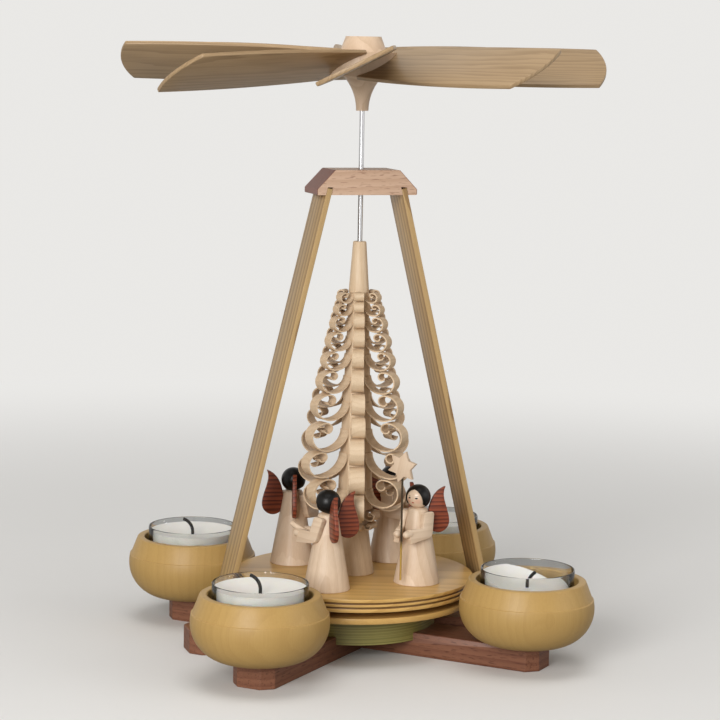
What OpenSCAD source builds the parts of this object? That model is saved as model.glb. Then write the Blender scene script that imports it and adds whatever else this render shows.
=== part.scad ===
// Turning candle pyramid: a slotted wing wheel drives a turntable with a shaved-wood tree and four angels.
// The turning axis is Z, the floor is z = 0, and the bar that carries the two struts lies along X.

/* [Floor bars] */
// Width of each floor bar
bar_width = 27; // [22:0.5:30]
// Height of each floor bar
bar_height = 14; // [12:0.5:18]
// Length of the two crossing bars that carry the bowls
candle_bar_length = 250; // [240:1:290]
// Length of the bar that carries the struts
strut_bar_length = 205; // [190:1:240]
// Corner cut off each bar end
bar_corner = 6; // [2:0.5:9]

/* [Base drum] */
// Diameter of the green drum over the bars
drum_diameter = 98; // [80:1:110]
// Height of the drum
drum_height = 17.5; // [14:0.5:22]
// Depth by which the drum is housed over the bars
drum_housing = 4.5; // [3:0.5:8]
// Diameter of the thin disc on the drum
base_disc_diameter = 140; // [124:1:146]
// Thickness of the thin disc
base_disc_thickness = 3.5; // [2.5:0.1:6]
// Diameter of the axle's way through the thin disc
base_disc_hole = 8; // [6:0.5:11]
// Diameter of the bearing cup
cup_bearing_diameter = 12; // [10:0.5:16]
// Height of the bearing cup
cup_bearing_height = 6; // [5:0.5:7]
// Depth of the point's cone in the bearing cup
cup_bearing_cone = 3.5; // [2.5:0.1:4]

/* [Struts and top block] */
// Thickness of a strut board
strut_thickness = 3.3; // [2.5:0.1:5]
// Depth of a strut board, front to back
strut_depth = 26; // [18:0.5:27]
// Distance from the axis to a strut at the top of its bar
strut_foot_reach = 84.5; // [82:0.5:92]
// Distance from the axis to a strut at the underside of the block
strut_top_reach = 23.5; // [22:0.5:26]
// Depth of a strut's foot in its bar
strut_foot_depth = 6; // [3:0.5:8]
// Depth of a strut's top in the block
strut_top_depth = 4.5; // [3:0.5:6]
// Height of the block's underside over the floor
block_underside = 269; // [255:1:290]
// Height of the block
block_height = 14.5; // [11:0.5:18]
// Length of the block's underside
block_length = 61; // [57:0.5:70]
// Length of the block's top
block_top_length = 40.5; // [34:0.5:48]
// Height of the block's upright ends
block_end_height = 3; // [2.5:0.5:5]
// Depth of the block, front to back
block_depth = 26; // [20:0.5:32]
// Rounding of the block's corners
block_round = 0.8; // [0.4:0.1:1.2]
// Depth of the wide mouth over the axle's guide hole
guide_mouth_depth = 2; // [1:0.5:4]
// Diameter of that mouth
guide_mouth_diameter = 5.5; // [4.5:0.5:8]

/* [Bowls] */
// Diameter of the circle on which the bowls stand
bowl_circle = 226; // [224:1:240]
// Greatest diameter of a bowl
bowl_diameter = 78.4; // [74:0.2:80]
// Height of a bowl
bowl_height = 37.5; // [34:0.5:42]
// Height of the ridge round a bowl
bowl_ridge = 27; // [24:0.5:30]
// Height of the ridge over the widest line of the belly
bowl_belly_drop = 5.5; // [3:0.5:8]
// Diameter of a bowl's rim
bowl_rim_diameter = 68.6; // [66:0.2:71]
// Diameter of a bowl's recess
bowl_recess_diameter = 59.2; // [57:0.2:63]
// Depth of a bowl's recess
bowl_recess_depth = 17.5; // [14:0.5:22]
// Diameter of a bowl's flat foot
bowl_foot_diameter = 38; // [32:1:46]

/* [Tea lights] */
// Diameter of a clear cup
cup_diameter = 54.4; // [50:0.2:56]
// Height of a clear cup
cup_height = 24; // [19:0.5:28]
// Wall of a clear cup
cup_wall = 0.8; // [0.5:0.1:1.4]
// Depth of the wax below the cup's rim
wax_below_rim = 3.4; // [2:0.2:6]
// Depth of the burnt pool in the fourth light
pool_depth = 9.2; // [6:0.2:11]
// Diameter of a wick
wick_diameter = 1.4; // [1:0.1:2]
// Length of the straight wick over the wax
wick_rise = 4; // [2:0.5:6]
// Radius of the burnt wick's bend
wick_bend = 7; // [5:0.5:10]

/* [Axle and turntable] */
// Diameter of the steel axle
axle_diameter = 3; // [2.5:0.1:4]
// Length of the axle's ground point
axle_point = 4; // [3.5:0.1:6]
// Gap between the thin disc and the turntable
turntable_gap = 3.9; // [2.5:0.1:6]
// Diameter of the turntable
turntable_diameter = 143; // [126:1:145]
// Thickness of the turntable
turntable_thickness = 7.6; // [6:0.1:9]
// Radius of the two grooves round the turntable's rim
rim_groove = 0.65; // [0.3:0.05:0.9]

/* [Wing wheel] */
// Diameter of the wing wheel over the blade tips
wheel_diameter = 283; // [255:1:310]
// Clear height between the block and the hub
wheel_clearance = 34; // [25:0.5:45]
// Number of blades
blade_count = 8; // [6:1:8]
// Pitch of each blade
blade_pitch = 26.5; // [20:0.5:30]
// Thickness of a blade
blade_thickness = 2.4; // [1.8:0.1:2.8]
// Width of a blade at its root
blade_root_width = 36; // [30:0.5:40]
// Width of a blade at its tip
blade_tip_width = 45; // [41:0.5:52]
// Swell of a blade's long edges
blade_swell = 2.6; // [1:0.2:5]
// Radius of a blade's rounded tip
blade_tip_radius = 54; // [40:1:80]
// Turn of the first blade at rest
blade_phase = 25.4; // [0:0.1:45]
// Diameter of the slotted disc
hub_disc_diameter = 40; // [36:0.5:48]
// Height of the slotted disc
hub_disc_height = 14; // [12.5:0.5:18]
// Depth of a saw slot from the disc's edge
slot_depth = 8; // [5:0.5:9]
// Length of the hub's trumpet neck
hub_neck_length = 20; // [14:0.5:28]
// Diameter of the neck's lower end
hub_neck_diameter = 7.3; // [6:0.1:9]
// Diameter of the neck's upper end
hub_flare_diameter = 23; // [18:0.5:26]
// Height of the cap over the disc
hub_cap_height = 9; // [6:0.5:12]
// Lower diameter of the cap
hub_cap_diameter = 27.6; // [24:0.2:32]
// Upper diameter of the cap
hub_cap_top_diameter = 20.8; // [16:0.2:23]

/* [Shaved tree] */
// Height of the tree over the turntable
tree_height = 199; // [185:1:212]
// Diameter of the tree's tip
tree_tip_diameter = 7.8; // [7:0.1:9.5]
// Length of the plain turned tip
tree_tip_length = 29; // [20:1:36]
// Diameter at the lower end of the turned tip
tree_tip_base_diameter = 12; // [10.5:0.1:13]
// Height of the turned foot
tree_foot_height = 39; // [34:1:44]
// Diameter of the turned foot on the turntable
tree_foot_diameter = 24; // [20:0.5:28]
// Diameter of the turned foot at its upper end
tree_foot_top_diameter = 13.4; // [12:0.1:15]
// Number of shaved columns round the tree
tree_columns = 6; // [5:1:8]
// Number of shaved tiers, top to bottom
tree_tiers = 11; // [9:1:12]
// Turn of the first column at rest
tree_phase = 14; // [0:1:60]
// Half-width across the six flats at the top tier
core_top_reach = 5; // [4.6:0.1:5.6]
// Half-width across the six flats at the bottom tier
core_bottom_reach = 9.2; // [8:0.1:10]
// Height of the top tier
first_tier = 6; // [5:0.1:7.5]
// Reach of the top tier's curls from the axis
first_reach = 12.8; // [11.5:0.1:14]
// Reach of the widest curls from the axis
widest_reach = 36.6; // [30:0.1:38]
// Thickness of a shaving
shaving_thickness = 0.9; // [0.7:0.05:1.1]

/* [Angels] */
// Diameter of the circle on which the angels stand
angel_circle = 86; // [83:0.5:92]
// Height of an angel's turned body
angel_body_height = 45; // [42:0.5:50]
// Diameter of the skirt's hem
skirt_diameter = 27.2; // [24:0.2:30]
// Diameter at the shoulders
shoulder_diameter = 11.2; // [10:0.2:13]
// Diameter of a head
head_diameter = 13.4; // [11.5:0.1:14.4]
// Thickness of the hair on a head
hair_thickness = 0.7; // [0.4:0.1:1]
// Thickness of a sleeve board
sleeve_thickness = 3.4; // [2.6:0.1:4.2]
// Length of a forearm in front of the shoulder
forearm_length = 15; // [12:0.5:17]
// Width of a cuff
cuff_width = 8.2; // [6.5:0.1:9.5]
// Diameter of a hand
hand_diameter = 4.4; // [3.6:0.1:4.6]
// Turn of the arms towards each other
arm_toe_in = 20; // [16:0.5:20]
// Height of a wing
wing_height = 27.5; // [22:0.5:31]
// Width of a wing
wing_width = 13.2; // [10:0.2:15]
// Thickness of a wing
wing_thickness = 2.4; // [1.6:0.1:3]
// Height of the neck over a wing's lower end
wing_drop = 15.5; // [12:0.5:19]
// Sweep of the wings from straight ahead
wing_sweep = 135; // [125:1:145]
// Outer radius of the star
star_radius = 9.6; // [7:0.2:11]
// Thickness of the star
star_thickness = 2.6; // [1.8:0.1:3.4]
// Height of the star's centre over the turntable
star_height = 71.5; // [68:0.5:80]
// Diameter of the star's staff
staff_diameter = 1.2; // [0.8:0.1:1.4]
// Length of the flute
flute_length = 16; // [12:0.5:20]
// Diameter of the flute
flute_diameter = 3; // [2.2:0.1:3.4]

/* [Fits] */
// Play beside a board in its housing
joint_play = 0.05; // [0.02:0.01:0.15]
// Glue gap round the axle in the pieces that turn with it
glue_gap = 0.03; // [0.01:0.01:0.06]
// Running clearance of the axle in the block's guide hole
running_clearance = 0.06; // [0.02:0.01:0.09]
// Air between the axle's point and the bearing cup
point_gap = 0.05; // [0.02:0.01:0.1]

/* [Hidden] */
$fn = 64;
sides = [0, 1, 2, 3];

// Room that a cut reaches past the face it opens
over = 1;
// Turn of each floor bar
candle_turns = [45, -45];
strut_turn = 0;
// Thirds of the bar height at which the three bars lap over each other
lap_low = bar_height / 3;
lap_high = 2 * bar_height / 3;
// Heights of the base, from the floor up
drum_bottom = bar_height - drum_housing;
drum_top = drum_bottom + drum_height;
base_disc_top = drum_top + base_disc_thickness;
turntable_bottom = base_disc_top + turntable_gap;
turntable_top = turntable_bottom + turntable_thickness;
// The bearing cup stands on the bars, and the axle's point stands in its cone
axle_radius = axle_diameter / 2;
bearing_top = bar_height + cup_bearing_height;
bearing_cone_radius = 3;
axle_tip_radius = 0.2;
axle_stand = cup_bearing_cone * (axle_tip_radius + point_gap) / bearing_cone_radius;
axle_bottom = bearing_top - cup_bearing_cone + axle_stand;
// Heights of the wing wheel
block_top = block_underside + block_height;
hub_bottom = block_top + wheel_clearance;
hub_disc_bottom = hub_bottom + hub_neck_length;
hub_disc_top = hub_disc_bottom + hub_disc_height;
axle_top = hub_disc_bottom + hub_disc_height / 2;
// Inner end of a blade in its slot, and the one blade that hangs lower than the others, with its angle
blade_root = hub_disc_diameter / 2 - slot_depth;
hanging_blade = 4;
blade_hang = 2.5;
// Facets of long flat curves
edge_facets = 360;
// Lean of a strut, and its thickness measured level
strut_lean = atan((strut_foot_reach - strut_top_reach) / (block_underside - bar_height));
strut_level_thickness = strut_thickness / cos(strut_lean);
// Bowls and lights stand on the candle bars
bowl_radius = bowl_diameter / 2;
bowl_foot_radius = bowl_foot_diameter / 2;
bowl_belly = bowl_ridge - bowl_belly_drop;
bowl_belly_centre =
  (bowl_radius ^ 2 - bowl_foot_radius ^ 2 - bowl_belly ^ 2) / (2 * (bowl_radius - bowl_foot_radius));
bowl_belly_radius = bowl_radius - bowl_belly_centre;
bowl_ridge_radius = bowl_belly_centre + sqrt(bowl_belly_radius ^ 2 - bowl_belly_drop ^ 2);
bowl_turns = [45, 135, 225, 315];
light_floor = bar_height + bowl_height - bowl_recess_depth;
wax_top = cup_height - wax_below_rim;
// Angle through which a burnt wick bends, and the direction in which each one leans
wick_curl = 55;
wick_turns = [60, 200, 150, 20];
// The light with the half-melted wax, and its pool's middle and radius as shares of the wax's radius
melted_light = 3;
pool_middle = [0.36, -0.34];
pool_share = 0.98;
// Tree: heights over the turntable and the rule for its tiers
crown_top = tree_height - tree_tip_length;
crown_height = crown_top - tree_foot_height;
tier_growth = 2 * (crown_height - tree_tiers * first_tier) / (tree_tiers * (tree_tiers - 1));
// Radii of a curl's quarter turns, as shares of its tier
curl_turns = [0.43, 0.36, 0.25, 0.18, 0.13, 0.1];
tightest_turn = 0.62 * shaving_thickness;
// Power by which the reach grows down to the widest tier, and how far the last one falls back and hangs
widest_tier = tree_tiers - 2.4;
reach_power = 1.25;
reach_fall = 4;
last_drop = 4.5;
// The two short tiers below the top of the foot: their drop, spacing, heights and reach past it
collar_drop = 0.8;
collar_pitch = 7.2;
collar_tiers = [5.6, 3.6];
collar_reaches = [8, 5];
// Share of its height by which a short tier's root stands off the widening foot
collar_clear = 0.12;
// Angels: their places round the turntable, and the step outwards and own turn that clear the tree
angel_turns = [42, 128, 233, 311];
angel_steps = [1.5, 2.5, 4, 0.5];
angel_facings = [-4, -6, -8, 0];
// Least air between a head and the curls of the tree
head_air = 1;
// Lean of the skirt, and what the arms and hands follow
skirt_radius = skirt_diameter / 2;
shoulder_radius = shoulder_diameter / 2;
shoulder_round = 1.6;
shoulder_slope = [0.3, 0.35];
skirt_lean = atan((skirt_radius - shoulder_radius) / angel_body_height);
head_radius = head_diameter / 2;
neck_radius = 2.8;
head_centre = angel_body_height + sqrt(head_radius ^ 2 - neck_radius ^ 2);
star_angel = 3;
flute_angel = 2;
// Opening of the hair round the face: shares of the head's radius, and its lean
face_middle = [0.62, 0, -0.42];
face_radii = [0.62, 1.3];
face_depth = 1.6;
face_lean = 68;
hair_end = -0.5;
// Depth of the flat on the body behind each sleeve, and of the slot behind each wing
arm_seat = 0.5;
wing_seat = 1.2;
// Sleeve: its heights below the neck, its width and its cut corners
sleeve_drop = 1.6;
cuff_drop = 10.6;
elbow_drop = 15;
sleeve_top = angel_body_height - sleeve_drop;
elbow = angel_body_height - elbow_drop;
cuff_top = angel_body_height - cuff_drop;
upper_arm_width = 8;
sleeve_corner = 1.8;
sleeve_bend = 0.6;
hand_reach = 3.4;
hand_height = cuff_top - cuff_width / 2;
// Wing: its root on the leaning back, its tip, and the handles of its two curved edges
wing_lift = angel_body_height - wing_drop;
wing_root_height = wing_lift + wing_height * 0.27;
wing_root = shoulder_radius + (angel_body_height - wing_root_height) * tan(skirt_lean) - wing_seat;
wing_tip = [0.8, 1];
wing_handles = [[0, 0.72], [0.34, 0.93], [0.54, 0.78], [1, 0.5]];
wing_steps = 8;
// Star: its tilt, and the heights of its staff's two ends over the turntable
star_tilt = 14;
staff_bottom = 4.5;
staff_top = star_height - star_radius * 0.4;
// Angle of the flute, the share of it behind the hands, and its gap to them
flute_raise = 25;
flute_held = 0.3;
flute_gap = 0.25;

// Point on a cubic curve with end points a, d and handles b, c
function curve(a, b, c, d, t) =
  a * (1 - t) ^ 3 + 3 * b * t * (1 - t) ^ 2 + 3 * c * t ^ 2 * (1 - t) + d * t ^ 3;

// Distance of a strut's middle from the axis at a height
function strut_reach(z) =
  strut_foot_reach - (z - bar_height) * tan(strut_lean);

// One floor bar, lying along X
module bar_blank(length) {
  half = length / 2;
  side = bar_width / 2;
  linear_extrude(bar_height)
    polygon([
      [half, side - bar_corner], [half - bar_corner, side],
      [bar_corner - half, side], [-half, side - bar_corner],
      [-half, bar_corner - side], [bar_corner - half, -side],
      [half - bar_corner, -side], [half, bar_corner - side]
    ]);
}

// Way that a bar at some turn takes through its neighbours, seen from above
module bar_way(turn) {
  rotate(turn) square([candle_bar_length + strut_bar_length, bar_width + 2 * joint_play], center = true);
}

// Space that the bars at some turns take between two heights
module bar_space(turns, low, high) {
  translate([0, 0, low])
    linear_extrude(high - low)
      for (turn = turns) bar_way(turn);
}

module candle_bar_1() {
  color("#7a4a32")
    difference() {
      rotate(candle_turns[0]) bar_blank(candle_bar_length);
      bar_space([candle_turns[1], strut_turn], lap_low, bar_height + over);
    }
}

module candle_bar_2() {
  color("#7a4a32")
    difference() {
      rotate(candle_turns[1]) bar_blank(candle_bar_length);
      bar_space([candle_turns[0]], -over, lap_low);
      bar_space([strut_turn], lap_high, bar_height + over);
    }
}

module strut_bar() {
  color("#7a4a32")
    difference() {
      bar_blank(strut_bar_length);
      bar_space([candle_turns[0]], -over, lap_low);
      bar_space([candle_turns[1]], -over, lap_high);
      strut_board(bar_height - strut_foot_depth, bar_height + over, joint_play, bar_width + 2 * over);
      mirror([1, 0, 0])
        strut_board(bar_height - strut_foot_depth, bar_height + over, joint_play, bar_width + 2 * over);
    }
}

// Turned drum, housed over the three bars and bored for the bearing cup
module drum() {
  color("#6b6a2e")
    difference() {
      translate([0, 0, drum_bottom]) cylinder(d = drum_diameter, h = drum_height);
      bar_space(concat(candle_turns, strut_turn), drum_bottom - over, bar_height);
      cylinder(d = cup_bearing_diameter + 2 * joint_play, h = drum_top + over);
    }
}

module base_disc() {
  color("#b08d57")
    translate([0, 0, drum_top])
      difference() {
        cylinder(d = base_disc_diameter, h = base_disc_thickness);
        translate([0, 0, -over]) cylinder(d = base_disc_hole, h = base_disc_thickness + 2 * over);
      }
}

// Hard cup with a cone for the axle's point
module bearing_cup() {
  color("#c9c9c4")
    translate([0, 0, bar_height])
      difference() {
        cylinder(d = cup_bearing_diameter, h = cup_bearing_height);
        translate([0, 0, cup_bearing_height - cup_bearing_cone])
          cylinder(r1 = 0, r2 = bearing_cone_radius, h = cup_bearing_cone);
      }
}

// Leaning board cut level at two heights
module strut_board(low, high, play, depth) {
  half = strut_level_thickness / 2 + play;
  translate([0, depth / 2, 0])
    rotate([90, 0, 0])
      linear_extrude(depth)
        polygon([
          [strut_reach(low) - half, low], [strut_reach(low) + half, low],
          [strut_reach(high) + half, high], [strut_reach(high) - half, high]
        ]);
}

module strut_right() {
  color("#a5814f")
    strut_board(bar_height - strut_foot_depth, block_underside + strut_top_depth, 0, strut_depth);
}

module strut_left() {
  mirror([1, 0, 0]) strut_right();
}

// Top block with sloped ends, slots for the struts and a guide hole for the axle
module top_block() {
  half = block_length / 2 - block_round;
  top_half = block_top_length / 2 - block_round;
  slot_depth_y = block_depth + 2 * over;
  color("#b98a66")
    difference() {
      translate([0, block_depth / 2, block_underside])
        rotate([90, 0, 0])
          linear_extrude(block_depth)
            hull()
              for (s = [-1, 1]) {
                translate([s * half, block_round]) circle(block_round, $fn = 24);
                translate([s * half, block_end_height]) circle(block_round, $fn = 24);
                translate([s * top_half, block_height - block_round]) circle(block_round, $fn = 24);
              }
      strut_board(block_underside - over, block_underside + strut_top_depth, joint_play, slot_depth_y);
      mirror([1, 0, 0])
        strut_board(block_underside - over, block_underside + strut_top_depth, joint_play, slot_depth_y);
      translate([0, 0, block_underside - over])
        cylinder(r = axle_radius + running_clearance, h = block_height + 2 * over);
      translate([0, 0, block_top - guide_mouth_depth])
        cylinder(d = guide_mouth_diameter, h = guide_mouth_depth + over);
    }
}

// Turned bowl: a round belly, a ridge, a straight cone to the rim and a recess for the light
module bowl_shape() {
  rotate_extrude()
    difference() {
      union() {
        intersection() {
          translate([bowl_belly_centre, bowl_belly]) circle(bowl_belly_radius, $fn = edge_facets);
          square([bowl_radius + over, bowl_ridge]);
        }
        square([bowl_foot_radius, bowl_ridge]);
        polygon([
          [0, bowl_ridge], [bowl_ridge_radius, bowl_ridge],
          [bowl_rim_diameter / 2, bowl_height], [0, bowl_height]
        ]);
      }
      translate([0, bowl_height - bowl_recess_depth])
        square([bowl_recess_diameter / 2, bowl_recess_depth + over]);
    }
}

// Places a child on the candle bars at one of the four stations
module at_station(i, height) {
  rotate(bowl_turns[i]) translate([bowl_circle / 2, 0, height]) rotate(-bowl_turns[i]) children();
}

module bowl(i) {
  color("#c79a4e") at_station(i, bar_height) bowl_shape();
}

module tea_cup(i) {
  radius = cup_diameter / 2;
  color("#e8eef0", 0.4)
    at_station(i, light_floor)
      rotate_extrude()
        difference() {
          square([radius, cup_height]);
          translate([0, cup_wall]) square([radius - cup_wall, cup_height]);
        }
}

// Wax with its wick's hole; the melted one has a sunken pool beside a raised crescent
module tea_wax(i) {
  radius = cup_diameter / 2 - cup_wall - joint_play;
  melted = i == melted_light;
  surface = melted ? wax_top - pool_depth : wax_top;
  color("#f1eee6")
    at_station(i, light_floor)
      difference() {
        union() {
          translate([0, 0, cup_wall]) cylinder(r = radius, h = surface - cup_wall);
          if (melted)
            difference() {
              translate([0, 0, surface - over]) cylinder(r = radius, h = pool_depth + over);
              translate(concat(radius * pool_middle, surface - 2 * over))
                cylinder(r = radius * pool_share, h = pool_depth + 3 * over);
            }
        }
        translate([0, 0, cup_wall - over])
          cylinder(r = wick_diameter / 2 + joint_play, h = cup_height);
      }
}

// Wick that stands in the wax and bends over where it has burnt
module tea_wick(i) {
  surface = i == melted_light ? wax_top - pool_depth : wax_top;
  bend_start = surface + wick_rise;
  color("#1c1a18")
    at_station(i, light_floor)
      rotate(wick_turns[i]) {
        translate([0, 0, cup_wall]) cylinder(d = wick_diameter, h = bend_start - cup_wall);
        translate([wick_bend, 0, bend_start])
          rotate([90, 0, 180])
            rotate_extrude(angle = wick_curl)
              translate([wick_bend, 0]) circle(d = wick_diameter);
      }
}

// Steel axle on a ground point
module axle() {
  color("#b9bcc0") {
    translate([0, 0, axle_bottom]) cylinder(r1 = axle_tip_radius, r2 = axle_radius, h = axle_point);
    translate([0, 0, axle_bottom + axle_point])
      cylinder(r = axle_radius, h = axle_top - axle_bottom - axle_point);
  }
}

// Bore for the axle in a piece that turns with it
module axle_bore(low, high) {
  translate([0, 0, low]) cylinder(r = axle_radius + glue_gap, h = high - low);
}

module turntable() {
  radius = turntable_diameter / 2;
  color("#b98f4a")
    difference() {
      translate([0, 0, turntable_bottom])
        rotate_extrude()
          difference() {
            square([radius, turntable_thickness]);
            for (third = [1, 2])
              translate([radius, turntable_thickness * third / 3]) circle(rim_groove);
          }
      axle_bore(turntable_bottom - over, turntable_top + over);
    }
}

// Height and upper edge of a tier, counted from the top of the crown
function tier_height(i) = first_tier + tier_growth * i;
function tier_top(i) = crown_top - first_tier * i - tier_growth * i * (i - 1) / 2;

// How far a tier is the last one, 0 or 1, and the upper edge of a tier's shavings
function is_last(i) = max(0, i - tree_tiers + 2);
function shaving_top(i) = tier_top(i) - joint_play - is_last(i) * last_drop;

// Half-width of the six-sided core at a height
function core_reach(z) =
  core_top_reach + (core_bottom_reach - core_top_reach) * (crown_top - z) / crown_height;

// Reach of a tier's curls from the axis
function tier_reach(i) =
  min(widest_reach - is_last(i) * reach_fall,
      first_reach + (widest_reach - first_reach) * (i / widest_tier) ^ reach_power);

// Radius of the turned foot at a height
function foot_reach(z) =
  (tree_foot_diameter + (tree_foot_top_diameter - tree_foot_diameter) * z / tree_foot_height) / 2;

// Upper edge of a short tier on the foot, and the radius round which its shavings stand
function collar_top(i) = tree_foot_height - collar_drop - i * collar_pitch;
function collar_core(i) = foot_reach(collar_top(i) - collar_clear * collar_tiers[i]);

// Centre of each quarter turn of a curl, from the one before it
function turn_centre(radii, start, k) =
  k == 0 ? [start[0] + radii[0], start[1]] :
  turn_centre(radii, start, k - 1)
    + (radii[k - 1] - radii[k]) * [cos(180 + 90 * k), sin(180 + 90 * k)];

// One shaving, as a solid of its own: it leaves the core downwards, sweeps out and rolls up into an eye
module shaving(core, top, reach, tier, width) {
  root = core + glue_gap + shaving_thickness / 2;
  curl = [for (share = curl_turns) if (share * tier > tightest_turn) share * tier];
  radii = concat([reach - root - curl[0]], curl);
  translate([0, width / 2, 0])
    rotate([90, 0, 0])
      for (k = [0:len(radii) - 1])
        translate(turn_centre(radii, [root, top], k))
          rotate(180 + 90 * k)
            rotate_extrude(angle = 90)
              translate([radii[k] - shaving_thickness / 2, 0])
                square([shaving_thickness, width]);
}

// Ring of shavings round the core
module shaving_ring(core, top, reach, tier) {
  width = 2 * core * tan(180 / tree_columns) - 2 * joint_play;
  for (column = [0:tree_columns - 1])
    rotate(tree_phase + column * 360 / tree_columns)
      shaving(core, top, reach, tier, width);
}

// Turned stick of the tree: a conical foot, a six-sided core and a plain tip, bored for the axle
module tree_stick() {
  corner = 1 / cos(180 / tree_columns);
  difference() {
    union() {
      cylinder(d1 = tree_foot_diameter, d2 = tree_foot_top_diameter, h = tree_foot_height);
      translate([0, 0, crown_top])
        cylinder(d1 = tree_tip_base_diameter, d2 = tree_tip_diameter, h = tree_tip_length);
      translate([0, 0, tree_foot_height])
        rotate(tree_phase + 180 / tree_columns)
          cylinder(
            r1 = core_bottom_reach * corner, r2 = core_reach(crown_top + over) * corner,
            h = crown_height + over, $fn = tree_columns
          );
    }
    axle_bore(-over, tree_height + over);
  }
}

// Tree: the stick and the rolled shavings that stand round it
module tree() {
  color("#d8b98a")
    translate([0, 0, turntable_top]) {
      tree_stick();
      for (i = [0:tree_tiers - 1])
        shaving_ring(core_reach(shaving_top(i)), shaving_top(i), tier_reach(i), tier_height(i));
      for (i = [0, 1])
        shaving_ring(collar_core(i), collar_top(i), collar_core(i) + collar_reaches[i], collar_tiers[i]);
    }
}

// Turned hub: a trumpet neck, a disc with slanted saw slots and a cap
module wing_hub() {
  neck = hub_neck_diameter / 2;
  flare = hub_flare_diameter / 2 - neck;
  trumpet = (flare ^ 2 + hub_neck_length ^ 2) / (2 * flare);
  color("#cfae84")
    difference() {
      translate([0, 0, hub_bottom])
        rotate_extrude()
          union() {
            difference() {
              square([neck + flare, hub_neck_length]);
              translate([neck + trumpet, 0]) circle(trumpet);
            }
            translate([0, hub_neck_length]) square([hub_disc_diameter / 2, hub_disc_height]);
            translate([0, hub_neck_length + hub_disc_height])
              polygon([
                [0, 0], [hub_cap_diameter / 2, 0],
                [hub_cap_top_diameter / 2, hub_cap_height], [0, hub_cap_height]
              ]);
          }
      for (i = [0:blade_count - 1]) blade_place(i) blade_slot();
      axle_bore(hub_bottom - over, axle_top + joint_play);
    }
}

// Stands a child in the slot of one blade: X outwards, Y across the blade, tilted by the pitch
module blade_place(i) {
  translate([0, 0, (hub_disc_bottom + hub_disc_top) / 2])
    rotate(blade_phase + i * 360 / blade_count)
      rotate([0, i == hanging_blade ? blade_hang : 0, 0])
        rotate([blade_pitch, 0, 0])
          children();
}

// Saw slot for a blade, open to the disc's edge
module blade_slot() {
  width = hub_disc_diameter + hub_disc_height;
  thickness = blade_thickness + 2 * joint_play;
  translate([blade_root - joint_play, -width / 2, -thickness / 2])
    cube([hub_disc_diameter, width, thickness]);
}

// Outline of a blade: a straight root, swelling long edges and a round tip
module blade_outline() {
  tip = wheel_diameter / 2;
  root_half = blade_root_width / 2;
  tip_half = blade_tip_width / 2;
  tip_centre = tip - blade_tip_radius;
  corner = tip_centre + sqrt(blade_tip_radius ^ 2 - tip_half ^ 2);
  run = [corner - blade_root, tip_half - root_half];
  edge_radius = (run * run) / (8 * blade_swell) + blade_swell / 2;
  middle = [blade_root + corner, root_half + tip_half] / 2;
  inward = [run[1], -run[0]] / norm(run);
  edge_centre = middle + inward * (edge_radius - blade_swell);
  intersection() {
    union() {
      translate([blade_root, -tip]) square([tip_centre - blade_root, 2 * tip]);
      translate([tip_centre, 0]) circle(blade_tip_radius, $fn = edge_facets);
    }
    translate([blade_root, -tip]) square([2 * tip, 2 * tip]);
    translate(edge_centre) circle(edge_radius, $fn = edge_facets);
    mirror([0, 1]) translate(edge_centre) circle(edge_radius, $fn = edge_facets);
  }
}

module blade(i) {
  color("#c2a273")
    blade_place(i)
      translate([0, 0, -blade_thickness / 2])
        linear_extrude(blade_thickness) blade_outline();
}

// Radius and middle of a tier's outer quarter turn: its reach from the axis and its height
function curl_radius(tier) = curl_turns[0] * tier_height(tier);
function curl_middle(tier) =
  let (root = core_reach(shaving_top(tier)) + glue_gap + shaving_thickness / 2)
  [tier_reach(tier) - curl_radius(tier),
   shaving_top(tier) - tier_reach(tier) + root + 2 * curl_radius(tier)];

// Reach from the axis at which a head clears the curls of a tier
function head_stand(tier) =
  let (apart = curl_radius(tier) + shaving_thickness / 2 + head_radius + hair_thickness + head_air)
  let (rise = curl_middle(tier)[1] - head_centre)
  curl_middle(tier)[0] + sqrt(max(0, apart ^ 2 - rise ^ 2));

// How far from the axis an angel stands: on its circle, or further out where its head needs the room
function angel_stand(i) =
  max(concat(
    [angel_circle / 2 + angel_steps[i]],
    [for (tier = [0:tree_tiers - 1]) head_stand(tier)]
  ));

// Stands a child on the turntable as one of the angels: X ahead of it, Y on its left
module at_angel(i) {
  rotate(angel_turns[i])
    translate([angel_stand(i), 0, turntable_top])
      rotate(angel_facings[i] - 90)
        children();
}

// Places a child against the skirt: X ahead along the sleeve, Y outwards, Z up the skirt
module against_skirt(side) {
  mirror([0, side == "left" ? 0 : 1, 0])
    rotate(-arm_toe_in)
      translate([0, skirt_radius - arm_seat / cos(skirt_lean), 0])
        rotate([skirt_lean, 0, 0])
          children();
}

// Turned body with flats for the sleeves and slots for the wings
module angel_body(i) {
  color("#d9bd92")
    at_angel(i)
      difference() {
        rotate_extrude()
          polygon([
            [0, 0], [skirt_radius, 0],
            [shoulder_radius + shoulder_round * tan(skirt_lean), angel_body_height - shoulder_round],
            [shoulder_radius, angel_body_height] - shoulder_round * shoulder_slope,
            [neck_radius, angel_body_height], [0, angel_body_height]
          ]);
        for (side = ["left", "right"])
          against_skirt(side)
            translate([-upper_arm_width, -glue_gap, cuff_top - cuff_width])
              cube([2 * upper_arm_width, skirt_diameter, angel_body_height]);
        for (s = [-1, 1])
          rotate(s * wing_sweep)
            translate([wing_root - joint_play, -wing_thickness / 2 - joint_play, wing_lift])
              cube([wing_width, wing_thickness + 2 * joint_play, wing_height]);
      }
}

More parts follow.
